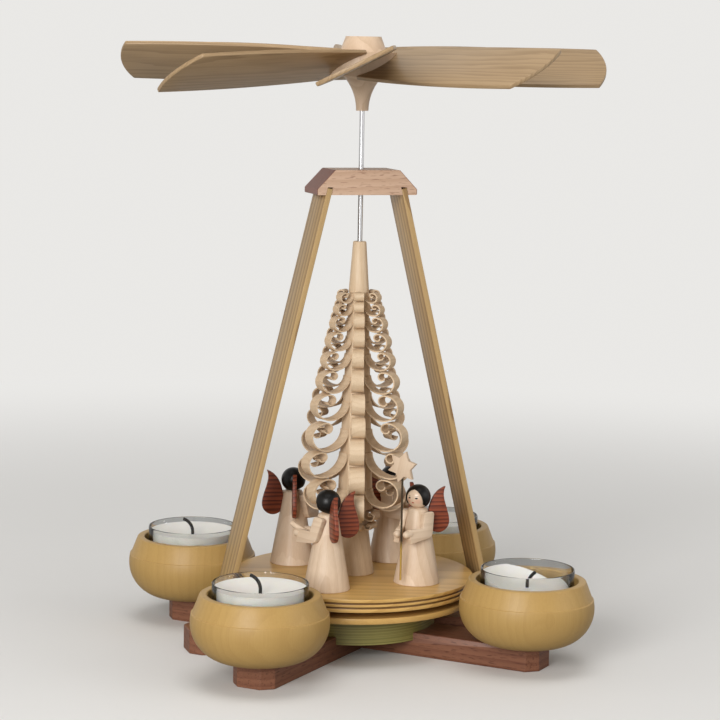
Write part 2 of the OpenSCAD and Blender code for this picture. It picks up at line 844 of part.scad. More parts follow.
// Ball head with a cap of hair left open round the face
module angel_head(i) {
  hair_radius = head_radius + hair_thickness;
  color("#e3c9a2")
    at_angel(i)
      difference() {
        translate([0, 0, head_centre])
          union() {
            sphere(head_radius);
            difference() {
              sphere(hair_radius);
              translate(head_radius * face_middle)
                rotate([0, face_lean, 0])
                  cylinder(
                    r1 = head_radius * face_radii[0], r2 = head_radius * face_radii[1],
                    h = head_radius * face_depth
                  );
              translate(head_radius * [-2, -2, hair_end - 2]) cube(head_radius * [4, 4, 2]);
            }
          }
        translate([-head_radius, -head_radius, 0])
          cube([2 * head_radius, 2 * head_radius, angel_body_height]);
      }
}

// Sleeve board, seen from the side: upper arm, bent elbow and widening cuff
module sleeve_outline() {
  back = -upper_arm_width / 2;
  front = upper_arm_width / 2;
  polygon([
    [back, sleeve_top - sleeve_corner], [back + sleeve_corner, sleeve_top],
    [front - sleeve_corner, sleeve_top], [front, sleeve_top - sleeve_corner],
    [front - sleeve_bend, cuff_top], [forearm_length, cuff_top],
    [forearm_length, cuff_top - cuff_width],
    [back + 2 * sleeve_corner, elbow - sleeve_corner], [back, elbow + sleeve_corner]
  ]);
}

// Sleeve with the round hand that stands out of its cuff
module angel_arm(i, side) {
  color("#d9bd92")
    at_angel(i)
      against_skirt(side) {
        translate([0, sleeve_thickness, 0])
          rotate([90, 0, 0])
            linear_extrude(sleeve_thickness) sleeve_outline();
        translate([forearm_length, sleeve_thickness / 2, hand_height])
          rotate([0, 90, 0])
            rotate_extrude()
              intersection() {
                square([hand_diameter / 2, hand_reach]);
                union() {
                  square([hand_diameter / 2, hand_reach - hand_diameter / 2]);
                  translate([0, hand_reach - hand_diameter / 2]) circle(d = hand_diameter);
                }
              }
      }
}

// Outline of a wing: a round lower lobe that narrows to a tip curling outwards
module wing_outline() {
  lobe = wing_width / 2;
  spread = [[wing_width, 0], [0, wing_height]];
  tip = wing_tip * spread;
  handles = wing_handles * spread;
  inner = [for (k = [0:wing_steps])
    curve([0, lobe], handles[0], handles[1], tip, k / wing_steps)];
  outer = [for (k = [1:wing_steps])
    curve(tip, handles[2], handles[3], [wing_width, lobe], k / wing_steps)];
  bottom = [for (k = [1:wing_steps - 1])
    [lobe + lobe * cos(180 * k / wing_steps), lobe - lobe * sin(180 * k / wing_steps)]];
  polygon(concat(inner, outer, bottom));
}

// Pair of wing boards let into the back
module angel_wings(i) {
  color("#6e2f22")
    at_angel(i)
      for (s = [-1, 1])
        rotate(s * wing_sweep)
          translate([wing_root, wing_thickness / 2, wing_lift])
            rotate([90, 0, 0])
              linear_extrude(wing_thickness) wing_outline();
}

// Centre of an angel's left hand: ahead, to its left and up
function hand_centre() =
  let (
    out = skirt_radius - arm_seat / cos(skirt_lean) - hand_height * sin(skirt_lean)
      + sleeve_thickness / 2 * cos(skirt_lean),
    along = forearm_length + hand_reach / 2
  )
  [
    along * cos(arm_toe_in) + out * sin(arm_toe_in),
    out * cos(arm_toe_in) - along * sin(arm_toe_in),
    hand_height * cos(skirt_lean) + sleeve_thickness / 2 * sin(skirt_lean)
  ];

// Six-pointed star, drilled from below for its staff
module star() {
  inner = star_radius / sqrt(3);
  color("#dcc196")
    at_angel(star_angel)
      translate([hand_centre()[0], 0, 0])
        difference() {
          translate([-star_thickness / 2, 0, star_height])
            rotate([90, star_tilt, 90])
              linear_extrude(star_thickness)
                polygon([
                  for (k = [0:11]) (k % 2 == 0 ? star_radius : inner) * [cos(90 + 30 * k), sin(90 + 30 * k)]
                ]);
          cylinder(d = staff_diameter + 2 * glue_gap, h = staff_top + glue_gap);
        }
}

module star_staff() {
  color("#3a2f22")
    at_angel(star_angel)
      translate([hand_centre()[0], 0, staff_bottom])
        cylinder(d = staff_diameter, h = staff_top - staff_bottom);
}

// Flute laid between the hands and raised towards its far end
module flute() {
  hand = hand_centre();
  rise = sqrt(((hand_diameter + flute_diameter) / 2 + flute_gap) ^ 2 - hand[1] ^ 2);
  color("#e0c79d")
    at_angel(flute_angel)
      translate([hand[0], 0, hand[2] + rise])
        rotate([0, 90 - flute_raise, 0])
          translate([0, 0, -flute_length * flute_held])
            cylinder(d = flute_diameter, h = flute_length);
}

candle_bar_1();
candle_bar_2();
strut_bar();
drum();
base_disc();
bearing_cup();
strut_left();
strut_right();
top_block();
axle();
turntable();
tree();
wing_hub();
star();
star_staff();
flute();
for (i = sides) {
  n = i + 1;
  bowl(i);
  tea_cup(i);
  tea_wax(i);
  tea_wick(i);
  angel_body(i);
  angel_head(i);
  angel_arm(i, "left");
  angel_arm(i, "right");
  angel_wings(i);
}
for (i = [0:blade_count - 1])
  blade(i);
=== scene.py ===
# %% [markdown]
# # A candle pyramid of turned and shaved wood
# Warm air from the tea lights drives a wheel of pitched blades, and the wheel turns a plate with a
# shaved tree and small angels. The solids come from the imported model, so every size is already right.
# This lesson dresses them: the plain turned discs keep their solids and get a finish, and what needs
# a softer or finer form is modelled again in the same place.

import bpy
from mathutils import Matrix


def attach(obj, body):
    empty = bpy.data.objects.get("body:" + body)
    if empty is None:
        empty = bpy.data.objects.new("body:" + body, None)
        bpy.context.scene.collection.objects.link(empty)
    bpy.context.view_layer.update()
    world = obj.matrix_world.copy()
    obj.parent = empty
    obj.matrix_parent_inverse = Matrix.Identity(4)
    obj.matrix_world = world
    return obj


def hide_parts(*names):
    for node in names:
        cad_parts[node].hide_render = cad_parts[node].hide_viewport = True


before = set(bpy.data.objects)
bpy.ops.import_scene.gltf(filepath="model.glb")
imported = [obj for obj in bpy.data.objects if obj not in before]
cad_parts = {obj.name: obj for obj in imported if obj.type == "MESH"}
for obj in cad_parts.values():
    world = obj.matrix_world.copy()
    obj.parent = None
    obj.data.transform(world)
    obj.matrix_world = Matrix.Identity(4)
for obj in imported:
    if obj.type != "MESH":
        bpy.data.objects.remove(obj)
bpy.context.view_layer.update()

# %% [markdown]
# ## The view
# The picture was taken with a long lens from a little above, so the uprights stay almost parallel.
# A long focal length far away gives that look. The camera is turned a little to the left side of the
# pyramid, tilted down, and rolled by about a degree, as the real one was held.

# %% Camera
import random
from math import asin, atan, copysign, cos, degrees, radians, sin, sqrt, tan

import bmesh
import bpy
from mathutils import Matrix, Vector

MM = 0.001
AROUND = radians(-17.75)
LENS, SENSOR = 117.25, 36
CAMERA_REACH = 1.378
CAMERA_HEIGHT = 0.356
CAMERA_TILT = radians(90 - 7.67)
CAMERA_PAN = radians(-0.06)
CAMERA_ROLL = radians(1.08)

scene = bpy.context.scene
camera_data = bpy.data.cameras.new("camera")
camera_data.lens = LENS
camera_data.sensor_width = SENSOR
camera = bpy.data.objects.new("camera", camera_data)
scene.collection.objects.link(camera)
camera.matrix_world = (
    Matrix.Translation((CAMERA_REACH * sin(AROUND), -CAMERA_REACH * cos(AROUND), CAMERA_HEIGHT))
    @ Matrix.Rotation(AROUND + CAMERA_PAN, 4, "Z")
    @ Matrix.Rotation(CAMERA_TILT, 4, "X")
    @ Matrix.Rotation(CAMERA_ROLL, 4, "Z")
)
scene.camera = camera
scene.view_settings.view_transform = "Standard"
print("camera at", [round(v, 3) for v in camera.location])

# %% [markdown]
# ## Working as by hand
# Every new piece starts as a primitive and is shaped in edit mode. These helpers do what a hand does
# over and over: pick one object, pick some of its parts by their place, and lay a finished copy in
# its place. A turned piece is made as on a lathe: a flat disc is extruded and resized from ring to ring.


# %% Helpers for modelling
def solo(piece):
    """Selects one object and nothing else."""
    bpy.ops.object.select_all(action="DESELECT")
    piece.select_set(True)
    bpy.context.view_layer.objects.active = piece


def edit(piece):
    """Opens one object in edit mode with nothing picked."""
    solo(piece)
    bpy.ops.object.mode_set(mode="EDIT")
    bpy.ops.mesh.select_all(action="DESELECT")


def pick(piece, kind, test):
    """In edit mode, picks the vertices, edges or faces that pass a test, and counts them."""
    bpy.ops.mesh.select_mode(type=kind)
    bpy.ops.mesh.select_all(action="DESELECT")
    mesh = bmesh.from_edit_mesh(piece.data)
    parts = {"VERT": mesh.verts, "EDGE": mesh.edges, "FACE": mesh.faces}[kind]
    found = [part for part in parts if test(part)]
    for part in found:
        part.select_set(True)
    bmesh.update_edit_mesh(piece.data)
    return len(found)


def pick_all():
    """In edit mode, picks everything."""
    bpy.ops.mesh.select_all(action="SELECT")


def extrude(x, y, z):
    """In edit mode, extrudes what is picked by a step in mm."""
    bpy.ops.mesh.extrude_region_move(TRANSFORM_OT_translate={"value": (x * MM, y * MM, z * MM)})


def leave():
    """Back to object mode."""
    bpy.ops.object.mode_set(mode="OBJECT")


def smooth(piece, angle=35):
    """Smooth shading that keeps edges sharper than an angle."""
    solo(piece)
    bpy.ops.object.shade_smooth_by_angle(angle=radians(angle))


def modify(piece, kind, **settings):
    """Adds a modifier with its settings and applies it."""
    solo(piece)
    modifier = piece.modifiers.new(kind.lower(), kind)
    for key, value in settings.items():
        setattr(modifier, key, value)
    bpy.ops.object.modifier_apply(modifier=modifier.name)


def begin(name, add, **settings):
    """Adds a primitive with nothing else selected, and keeps its place in its mesh."""
    bpy.ops.object.select_all(action="DESELECT")
    add(**settings)
    piece = bpy.context.object
    piece.name = name
    bpy.ops.object.transform_apply()
    return piece


def turn(name, profile, steps=96):
    """A turned solid: a disc at the first point of the profile, extruded from point to point, in mm."""
    radius, height = profile[0]
    piece = begin(name, bpy.ops.mesh.primitive_circle_add, vertices=steps, radius=radius * MM,
                  fill_type="NGON", location=(0, 0, height * MM))
    edit(piece)
    pick_all()
    for next_radius, next_height in profile[1:]:
        extrude(0, 0, next_height - height)
        share = next_radius / radius
        bpy.ops.transform.resize(value=(share, share, 1), center_override=(0, 0, next_height * MM))
        radius, height = next_radius, next_height
    pick_all()
    bpy.ops.mesh.normals_make_consistent(inside=False)
    leave()
    smooth(piece)
    return piece


def arc(middle, radius, first, last, steps):
    """Points of an arc in a profile, from one angle to another in degrees."""
    angles = [radians(first + (last - first) * k / steps) for k in range(steps + 1)]
    return [(middle[0] + radius * cos(a), middle[1] + radius * sin(a)) for a in angles]


print("helpers ready")

# %% [markdown]
# ## Boards and copies
# Sleeves, wings, blades and the star are sawn from thin board. A ring of points is dragged onto the
# sawn outline, filled, extruded to the board's thickness and its edges are eased with a small bevel.
# What repeats is modelled once. Each copy gets its own mesh in its own place, and keeps the place it
# had on the bench in an attribute, so that its grain follows the piece and not the room.


# %% Boards and copies
def board(name, outline, thickness, ease):
    """A board in the XZ plane with its middle at y = 0, sawn to an outline in mm, with eased edges."""
    piece = begin(name, bpy.ops.mesh.primitive_circle_add, vertices=len(outline), radius=MM,
                  fill_type="NOTHING")
    edit(piece)
    mesh = bmesh.from_edit_mesh(piece.data)
    mesh.verts.ensure_lookup_table()
    for corner, (x, z) in zip(mesh.verts, outline):
        corner.co = (x * MM, -thickness / 2 * MM, z * MM)
    bmesh.update_edit_mesh(piece.data)
    pick_all()
    bpy.ops.mesh.edge_face_add()
    extrude(0, thickness, 0)
    pick_all()
    bpy.ops.mesh.normals_make_consistent(inside=False)
    leave()
    modify(piece, "BEVEL", width=ease * MM, segments=2, limit_method="ANGLE", angle_limit=radians(30))
    smooth(piece)
    return piece


GRAIN = {"x": (1, 2, 0), "y": (2, 0, 1), "z": (0, 1, 2)}
chance = random.Random(7)


def keep_own(piece, grain, spread=4.0):
    """Keeps each point's place on the bench, grain along the third axis, with a chance shift in mm."""
    mesh = piece.data
    offsets = [chance.uniform(-spread, spread) * MM for _ in range(2)] + [chance.uniform(0, 0.1 * spread)]
    own = mesh.attributes.new("own", "FLOAT_VECTOR", "POINT")
    order = GRAIN[grain]
    values = []
    for vertex in mesh.vertices:
        values += [vertex.co[axis] + offset for axis, offset in zip(order, offsets)]
    own.data.foreach_set("vector", values)


def lay(piece, name, place, grain, spread=4.0):
    """A copy of a bench piece with its own mesh, laid in its place."""
    copy = bpy.data.objects.new(name, piece.data.copy())
    scene.collection.objects.link(copy)
    keep_own(copy, grain, spread)
    copy.data.transform(place)
    return copy


def join(pieces):
    """Makes one object of several. The first one stays."""
    solo(pieces[0])
    for piece in pieces[1:]:
        piece.select_set(True)
    bpy.ops.object.join()
    return pieces[0]


def clear(*pieces):
    """Takes the bench pieces away once their copies are laid."""
    for piece in pieces:
        bpy.data.objects.remove(piece, do_unlink=True)


def dress(piece, body, slot, finish, *nodes):
    """Gives a piece its finish and says which body carries it and which solids it stands for."""
    piece.data.materials.clear()
    piece.data.materials.append(finish)
    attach(piece, body)
    if nodes:
        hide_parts(*nodes)


def about(angle, axis):
    """A turn about one axis, in degrees."""
    return Matrix.Rotation(radians(angle), 4, axis)


def shift(x, y, z):
    """A move in mm."""
    return Matrix.Translation((x * MM, y * MM, z * MM))


print("bench ready")

# %% [markdown]
# ## The studio
# The object stands on a plain pale floor. One turned shape makes the floor and a wall that curves up
# all round, so that no horizon shows from any side. Large lamps give soft shadows: a strong one from
# the front left, a weaker one from the right and one from above.

# %% Floor and wall
FLOOR_RADIUS, WALL_ROUND, WALL_TOP = 4000, 1500, 3500
studio_profile = [(FLOOR_RADIUS - WALL_ROUND, 0)]
studio_profile += arc((FLOOR_RADIUS - WALL_ROUND, WALL_ROUND), WALL_ROUND, -90, 0, 12)[1:]
studio_profile += [(FLOOR_RADIUS, WALL_TOP)]
floor = turn("floor", studio_profile, 64)
edit(floor)
pick(floor, "FACE", lambda face: face.calc_center_median().z > (WALL_TOP - 1) * MM)
bpy.ops.mesh.delete(type="FACE")
pick_all()
bpy.ops.mesh.flip_normals()
leave()
print("studio:", len(floor.data.polygons), "floor faces")

# %% Lamps and world
LAMP_AIM = Vector((0, 0, 0.17))
WORLD_COLOUR, WORLD_STRENGTH = (1.0, 0.98, 0.95, 1), 0.4


def lamp(name, place, size, power):
    """A square soft lamp that points at the middle of the pyramid."""
    bpy.ops.object.light_add(type="AREA", location=place)
    light = bpy.context.object
    light.name = name
    light.data.size = size
    light.data.energy = power
    light.rotation_euler = (Vector(place) - LAMP_AIM).to_track_quat("Z", "Y").to_euler()


lamp("key lamp", (-1.25, -1.6, 0.78), 1.0, 36)
lamp("fill lamp", (1.5, -1.2, 0.8), 1.2, 7)
lamp("top lamp", (-0.1, -0.2, 1.9), 1.2, 12)

world = bpy.data.worlds.new("studio")
world.use_nodes = True
background = world.node_tree.nodes["Background"]
background.inputs["Color"].default_value = WORLD_COLOUR
background.inputs["Strength"].default_value = WORLD_STRENGTH
scene.world = world
print("lamps:", len(bpy.data.lights))

# %% [markdown]
# ## Shader maths as Python
# A finish is a graph of nodes, and most of it is arithmetic. This class wraps a socket, so that
# an expression such as 1 - mask adds its Math nodes by itself. Any other node comes from add().


# %% A socket that can be added and multiplied
class Wire:
    """One socket of a node tree. Operators on it add Math nodes, and add() adds any other node."""

    def __init__(self, tree, socket=None):
        self.tree = tree
        self.socket = socket

    def add(self, kind, settings=None, sockets=None, output=0):
        """A new shader node: its settings first, then the values or links of its sockets."""
        node = self.tree.nodes.new("ShaderNode" + kind)
        for key, value in (settings or {}).items():
            setattr(node, key, value)
        for key, value in (sockets or {}).items():
            if isinstance(value, Wire):
                self.tree.links.new(value.socket, node.inputs[key])
            else:
                node.inputs[key].default_value = value
        return Wire(self.tree, node.outputs[output])

    def math(self, operation, left, right=0.0):
        return self.add("Math", {"operation": operation}, {0: left, 1: right})

    def __add__(self, other):
        return self.math("ADD", self, other)

    def __sub__(self, other):
        return self.math("SUBTRACT", self, other)

    def __rsub__(self, other):
        return self.math("SUBTRACT", other, self)

    def __mul__(self, other):
        return self.math("MULTIPLY", self, other)

    def __truediv__(self, other):
        return self.math("DIVIDE", self, other)

    def __pow__(self, other):
        return self.math("POWER", self, other)

    def __gt__(self, other):
        return self.math("GREATER_THAN", self, other)

    def __lt__(self, other):
        return self.math("LESS_THAN", self, other)

    __radd__ = __add__


def blend_colour(factor, low, high):
    """A colour between two, by a factor."""
    return factor.add("Mix", {"data_type": "RGBA"}, {0: factor, 6: low, 7: high}, 2)


def soft_step(value, low, high):
    """0 below one limit, 1 above the other, smooth between them."""
    return value.add(
        "MapRange", {"interpolation_type": "SMOOTHSTEP"},
        {"Value": value, "From Min": low, "From Max": high})


def noise(place, stretch, scale, detail=2.0):
    """Noise over a place that is first stretched along the axes."""
    stretched = place.add("VectorMath", {"operation": "MULTIPLY"}, {0: place, 1: stretch})
    return place.add("TexNoise", {}, {"Vector": stretched, "Scale": scale, "Detail": detail})


def axes(place):
    """The three numbers of a place."""
    return [place.add("SeparateXYZ", {}, {0: place}, k) for k in range(3)]


def new_finish(name):
    """A material, a loose wire of its tree and its main shader."""
    finish = bpy.data.materials.new(name)
    finish.use_nodes = True
    tree = finish.node_tree
    return finish, Wire(tree), tree.nodes["Principled BSDF"]


def feed(shader, **sockets):
    """Sets or links the main shader's sockets. Words in a name are joined with an underscore."""
    for key, value in sockets.items():
        socket = shader.inputs[key.replace("_", " ")]
        if isinstance(value, Wire):
            value.tree.links.new(value.socket, socket)
        else:
            socket.default_value = value


def bump(height, strength, depth):
    """A normal that follows a height."""
    return height.add(
        "Bump", {}, {"Strength": strength, "Distance": depth * MM, "Height": height}, "Normal")


def rgb(red, green, blue):
    """A colour with full alpha."""
    return (red, green, blue, 1.0)


print("shader class ready")

# %% [markdown]
# ## Wood
# A board shows slices of yearly rings. The finish measures the distance from a pith line that runs
# along the grain, sways it with slow noise, and darkens the end of every ring. Fine long noise makes
# the fibres, and on beech short dark flecks lie along the grain. The place comes from the bench
# attribute on a modelled piece, or from the object's own coordinates on a carried-over solid.


# %% Wood finish
def bench_place(start):
    """The place that a piece had on the bench, grain along Z."""
    return start.add("Attribute", {"attribute_name": "own"}, {}, "Vector")


def object_place(start):
    """The place in the object's own coordinates."""
    return start.add("TexCoord", output="Object")


def solid_place(turn_z=0.0, tip_y=0.0, shift_mm=(0, 0, 0)):
    """The place on a carried-over solid, turned about Z and then tipped so that the grain runs along Z."""
    offset = [v * MM for v in shift_mm]

    def place(start):
        here = object_place(start)
        level = start.add(
            "Mapping", {"vector_type": "POINT"},
            {"Vector": here, "Rotation": (0, 0, radians(turn_z))})
        return start.add(
            "Mapping", {"vector_type": "POINT"},
            {"Vector": level, "Rotation": (0, radians(tip_y), 0), "Location": offset})

    return place


FLECK_FROM, FLECK_TO = 0.58, 0.68


def wood(name, pale, dark, place=bench_place, pith=(14, 6), ring=3.2, ring_depth=0.5, sway=5.0,
         fibre_depth=0.5, fleck=None, rough=0.45, coat=0.08, paint=None):
    """A wood finish. Sizes are in mm. paint lays colours over the wood."""
    finish, start, shader = new_finish(name)
    here = place(start)
    x, y, _ = axes(here)
    slow = noise(here, (1, 1, 0.14), 55, 3)
    from_pith = ((x - pith[0] * MM) ** 2 + (y - pith[1] * MM) ** 2) ** 0.5
    swayed = from_pith + (slow - 0.5) * (2 * sway * MM)
    ring_place = start.math("FRACT", swayed / (ring * MM))
    late = soft_step(ring_place, 0.25, 0.96) * (1 - soft_step(ring_place, 0.965, 1.0))
    fibre = noise(here, (1, 1, 0.022), 1500, 2)
    cloud = noise(here, (1, 1, 0.3), 38, 2)
    tone = late * ring_depth + (fibre - 0.5) * fibre_depth + (cloud - 0.5) * 0.5 + 0.12
    share = start.math("MINIMUM", start.math("MAXIMUM", tone, 0.0), 1.0)
    colour = blend_colour(share, rgb(*pale), rgb(*dark))
    if fleck:
        dash = noise(here, (1, 1, 0.13), 1300, 1)
        colour = blend_colour(soft_step(dash, FLECK_FROM, FLECK_TO) * 0.6, colour, rgb(*fleck))
    if paint:
        colour = paint(here, colour)
    feed(shader, Base_Color=colour, Roughness=rough + (fibre - 0.5) * 0.16,
         Normal=bump(fibre + late * 0.15, 0.22, 0.06), Specular_IOR_Level=0.32,
         Coat_Weight=coat, Coat_Roughness=0.25)
    return finish


print("wood finish ready")

# %% Woods of the modelled pieces
LINDEN = ((0.72, 0.56, 0.41), (0.52, 0.35, 0.21))
HONEY = ((0.475, 0.298, 0.098), (0.345, 0.198, 0.055))

tree_finish = wood("shaved linden", (0.74, 0.57, 0.39), (0.54, 0.37, 0.21), ring_depth=0.25, fibre_depth=0.7,
                   rough=0.5, coat=0.05)
figure_finish = wood("turned linden", *LINDEN, pith=(9, -7), ring=4.2, ring_depth=0.28, sway=6)
blade_finish = wood("blade board", (0.42, 0.285, 0.155), (0.26, 0.165, 0.08), pith=(70, 30), ring=2.2,
                    ring_depth=0.5, fibre_depth=0.8)
strut_finish = wood("strut board", (0.50, 0.335, 0.15), (0.25, 0.14, 0.055), pith=(4, 90), ring=5.4,
                    ring_depth=0.72, sway=3.2, coat=0.1)
bowl_finish = wood("honey bowl", *HONEY, pith=(30, 60), ring=5.0, ring_depth=0.15, sway=6, fibre_depth=0.4,
                   rough=0.46, coat=0.08)
wing_finish = wood("mahogany wing", (0.29, 0.068, 0.03), (0.07, 0.013, 0.008), pith=(6, -45), ring=2.6,
                   ring_depth=0.75, sway=4.5, fibre_depth=0.9)
print("wood:", len(bpy.data.materials), "finishes")

# %% [markdown]
# ## The solids that stay
# The bars, drum, discs, block, hub, axle and staff have their final form in the solid. Each gets a finish
# on its own coordinates, turned so that the grain runs along the bar or across the disc. The bars and discs
# get a fine live bevel, because a real edge is never quite sharp.


# %% Floor bars
def coat_solid(node, finish, ease=0.0):
    """Gives a carried-over solid its finish, and eases its edges by a live bevel."""
    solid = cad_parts[node]
    solid.data.materials.clear()
    solid.data.materials.append(finish)
    if ease:
        weld = solid.modifiers.new("weld", "WELD")
        weld.merge_threshold = 1e-6
        edge = solid.modifiers.new("ease", "BEVEL")
        edge.width = ease * MM
        edge.segments = 2
        edge.limit_method = "ANGLE"
        edge.angle_limit = radians(40)
        edge.harden_normals = True


BAR = dict(pale=(0.245, 0.103, 0.056), dark=(0.14, 0.048, 0.025), ring=4.0, ring_depth=0.45, sway=3,
           fleck=(0.06, 0.018, 0.01))
BAR_TURNS = {"candle_bar_1": 45, "candle_bar_2": -45, "strut_bar": 0}
BAR_EASE = 0.5
for node, along in BAR_TURNS.items():
    along_bar = solid_place(-along, -90, (3 * along, 5, 0))
    coat_solid(node, wood("beech " + node, place=along_bar, pith=(30, 12), **BAR), BAR_EASE)
print("bars:", len(BAR_TURNS))


# %% Drum, thin disc and turntable
def green_drum():
    """Olive green stain with fine turning streaks round the drum."""
    finish, start, shader = new_finish("olive drum")
    here = object_place(start)
    streak = noise(here, (0.004, 0.004, 1), 1600, 3)
    patch = noise(here, (1, 1, 0.5), 60, 2)
    tone = soft_step(streak, 0.3, 0.7) * 0.7 + patch * 0.4 - 0.1
    feed(shader, Base_Color=blend_colour(tone, rgb(0.155, 0.138, 0.03), rgb(0.42, 0.37, 0.11)),
         Roughness=0.38 + streak * 0.15, Normal=bump(streak, 0.2, 0.05), Coat_Weight=0.2)
    return finish


GROOVE_RADIUS = 71.2
GROOVE_LOW, GROOVE_HIGH = 35.4, 41.0


def groove_shade(here, wood_colour):
    """Painted shade darkens the two cuts round the rim."""
    x, y, z = axes(object_place(here))
    inside = 1 - soft_step((x ** 2 + y ** 2) ** 0.5, (GROOVE_RADIUS - 0.3) * MM, (GROOVE_RADIUS + 0.2) * MM)
    # Painted shade: a dark brown band in each cut round the rim.
    painted_shade = inside * (z > GROOVE_LOW * MM) * (z < GROOVE_HIGH * MM) * 0.9
    return blend_colour(painted_shade, wood_colour, rgb(0.10, 0.04, 0.01))


DISC = dict(pale=(0.68, 0.42, 0.135), dark=(0.43, 0.225, 0.055), ring=5.0, sway=4, rough=0.4, coat=0.15)
DISC_EASE = 0.35
turntable_finish = wood("honey turntable", place=solid_place(20, -90), pith=(70, 30), ring_depth=0.4,
                        paint=groove_shade, **DISC)
disc_finish = wood("honey disc", place=solid_place(-30, -90), pith=(60, 20), ring_depth=0.15, **DISC)
coat_solid("drum", green_drum())
coat_solid("turntable", turntable_finish, DISC_EASE)
coat_solid("base_disc", disc_finish, DISC_EASE)
print("turntable and disc eased by", DISC_EASE, "mm")

# %% Block and hub
BLOCK_LOW, BLOCK_HALF = 269.0, 30.5
BLOCK_PEAK, BLOCK_SLOPE = 33.68, 0.958


def end_grain(here, wood_colour):
    """Sawn ends drink more lacquer, so they are darker and redder. The ends stand up and then slope in."""
    x, _, z = axes(object_place(here))
    slope = (BLOCK_PEAK + BLOCK_LOW * BLOCK_SLOPE) * MM - z * BLOCK_SLOPE
    past = here.math("ABSOLUTE", x) - here.math("MINIMUM", slope, BLOCK_HALF * MM)
    sawn = soft_step(past, -0.5 * MM, -0.2 * MM) * 0.92
    return blend_colour(sawn, wood_colour, rgb(0.17, 0.055, 0.038))


block_finish = wood("flecked block", (0.64, 0.44, 0.31), (0.46, 0.28, 0.18), place=solid_place(0, -90),
                    pith=(-180, 40), ring=3.6, ring_depth=0.4, fleck=(0.24, 0.11, 0.07), paint=end_grain)
hub_finish = wood("turned hub", (0.70, 0.53, 0.38), (0.50, 0.34, 0.21), place=solid_place(), pith=(4, 3),
                  ring=3.0, ring_depth=0.35)
coat_solid("top_block", block_finish)
coat_solid("wing_hub", hub_finish)
print("block and hub finished")


# %% Steel and wire
def steel(name, colour, rough):
    """Drawn steel with faint lines along it."""
    finish, start, shader = new_finish(name)
    here = object_place(start)
    line = noise(here, (1, 1, 0.01), 900, 1)
    feed(shader, Base_Color=blend_colour(line, rgb(*[0.8 * c for c in colour]), rgb(*colour)),
         Metallic=1.0, Roughness=rough + (line - 0.5) * 0.04)
    return finish


coat_solid("axle", steel("axle steel", (0.60, 0.60, 0.61), 0.3))
coat_solid("bearing_cup", steel("bearing steel", (0.65, 0.65, 0.66), 0.3))


GOLD_TOP, BLACK_FROM = 64, 70


def staff_paint():
    """Thin wire, blackened above the hand and golden below it."""
    finish, start, shader = new_finish("staff wire")
    here = object_place(start)
    worn = noise(here, (1, 1, 0.2), 900, 2)
    above = soft_step(axes(here)[2] + (worn - 0.5) * 0.01, GOLD_TOP * MM, BLACK_FROM * MM)
    feed(shader, Base_Color=blend_colour(above, rgb(0.55, 0.36, 0.09), rgb(0.07, 0.05, 0.03)),
         Metallic=0.8, Roughness=0.3 + worn * 0.2)
    return finish


coat_solid("star_staff", staff_paint())
print("materials so far:", len(bpy.data.materials))

# %% [markdown]
# ## The turned bowls
# Each bowl is turned from one block: a round belly from a flat foot, a ridge, a straight cone to the
# rim and a straight recess for the light. It could be a revolved curve. Here the disc of the foot is
# extruded ring by ring, so the ridge and the rim can get the small rounding that the lathe leaves.

# %% Bowls
STATIONS = {1: 45, 2: 135, 3: 225, 4: 315}
BOWL_CIRCLE = 113
BAR_TOP = 14
RECESS_FLOOR = 20
GRAIN_STEP = 63
foot = [(18.6, 0), (19.4, 0.08)]
belly = arc((17.66, 21.5), 21.54, -82, 9, 20)
ridge = [(38.75, 26.3), (38.65, 26.7), (38.3, 26.95), (37.95, 27.05)]
cone = [(35.9, 32.3), (34.3, 36.4)]
rim = [(33.95, 37.1), (33.4, 37.42), (32.8, 37.5), (30.4, 37.5), (29.85, 37.3), (29.6, 36.8)]
recess = [(29.6, RECESS_FLOOR + 0.6), (29.0, RECESS_FLOOR)]
bowl_profile = foot + belly + ridge + cone + rim + recess
bench_bowl = turn("bench bowl", bowl_profile, 128)
smooth(bench_bowl, 16)
for number, angle in STATIONS.items():
    place = about(angle, "Z") @ shift(BOWL_CIRCLE, 0, BAR_TOP) @ about(GRAIN_STEP * number, "Z")
    bowl = lay(bench_bowl, f"turned_bowl_{number}", place, "z", 12)
    dress(bowl, "base", "honey_wood", bowl_finish, f"bowl_{number}")
clear(bench_bowl)
print("bowls:", len(STATIONS))

# %% [markdown]
# ## The tea lights
# A tea light of this kind is a clear thin cup with a small foot ring, filled with white wax round a
# wick. The cup is turned with both its walls, so the glass finish refracts as it should. The wax has a
# rim that creeps up the wall and a dip round the wick. The fourth light has burnt for longer: its wax
# slopes from a raised side down to a deep pool, and is pulled up step by step to get that slope.


# %% Finishes of the tea lights
def clear_finish():
    """Clear thin cup."""
    finish, start, shader = new_finish("clear cup")
    here = object_place(start)
    haze = noise(here, (1, 1, 1), 240, 2)
    feed(shader, Base_Color=rgb(0.97, 0.985, 0.985), Roughness=0.02 + haze * 0.05,
         Transmission_Weight=1.0, IOR=1.47)
    return finish


def wax_finish():
    """White wax, a little darker in soft clouds, with a satin skin."""
    finish, start, shader = new_finish("white wax")
    here = object_place(start)
    cloud = noise(here, (1, 1, 1), 130, 3)
    skin = noise(here, (1, 1, 1), 700, 2)
    feed(shader, Base_Color=blend_colour(cloud, rgb(0.80, 0.77, 0.71), rgb(0.90, 0.88, 0.83)),
         Roughness=0.32 + cloud * 0.15, Normal=bump(skin + cloud, 0.12, 0.25),
         Subsurface_Weight=0.35, Subsurface_Radius=(0.004, 0.003, 0.002), Subsurface_Scale=1.0)
    return finish


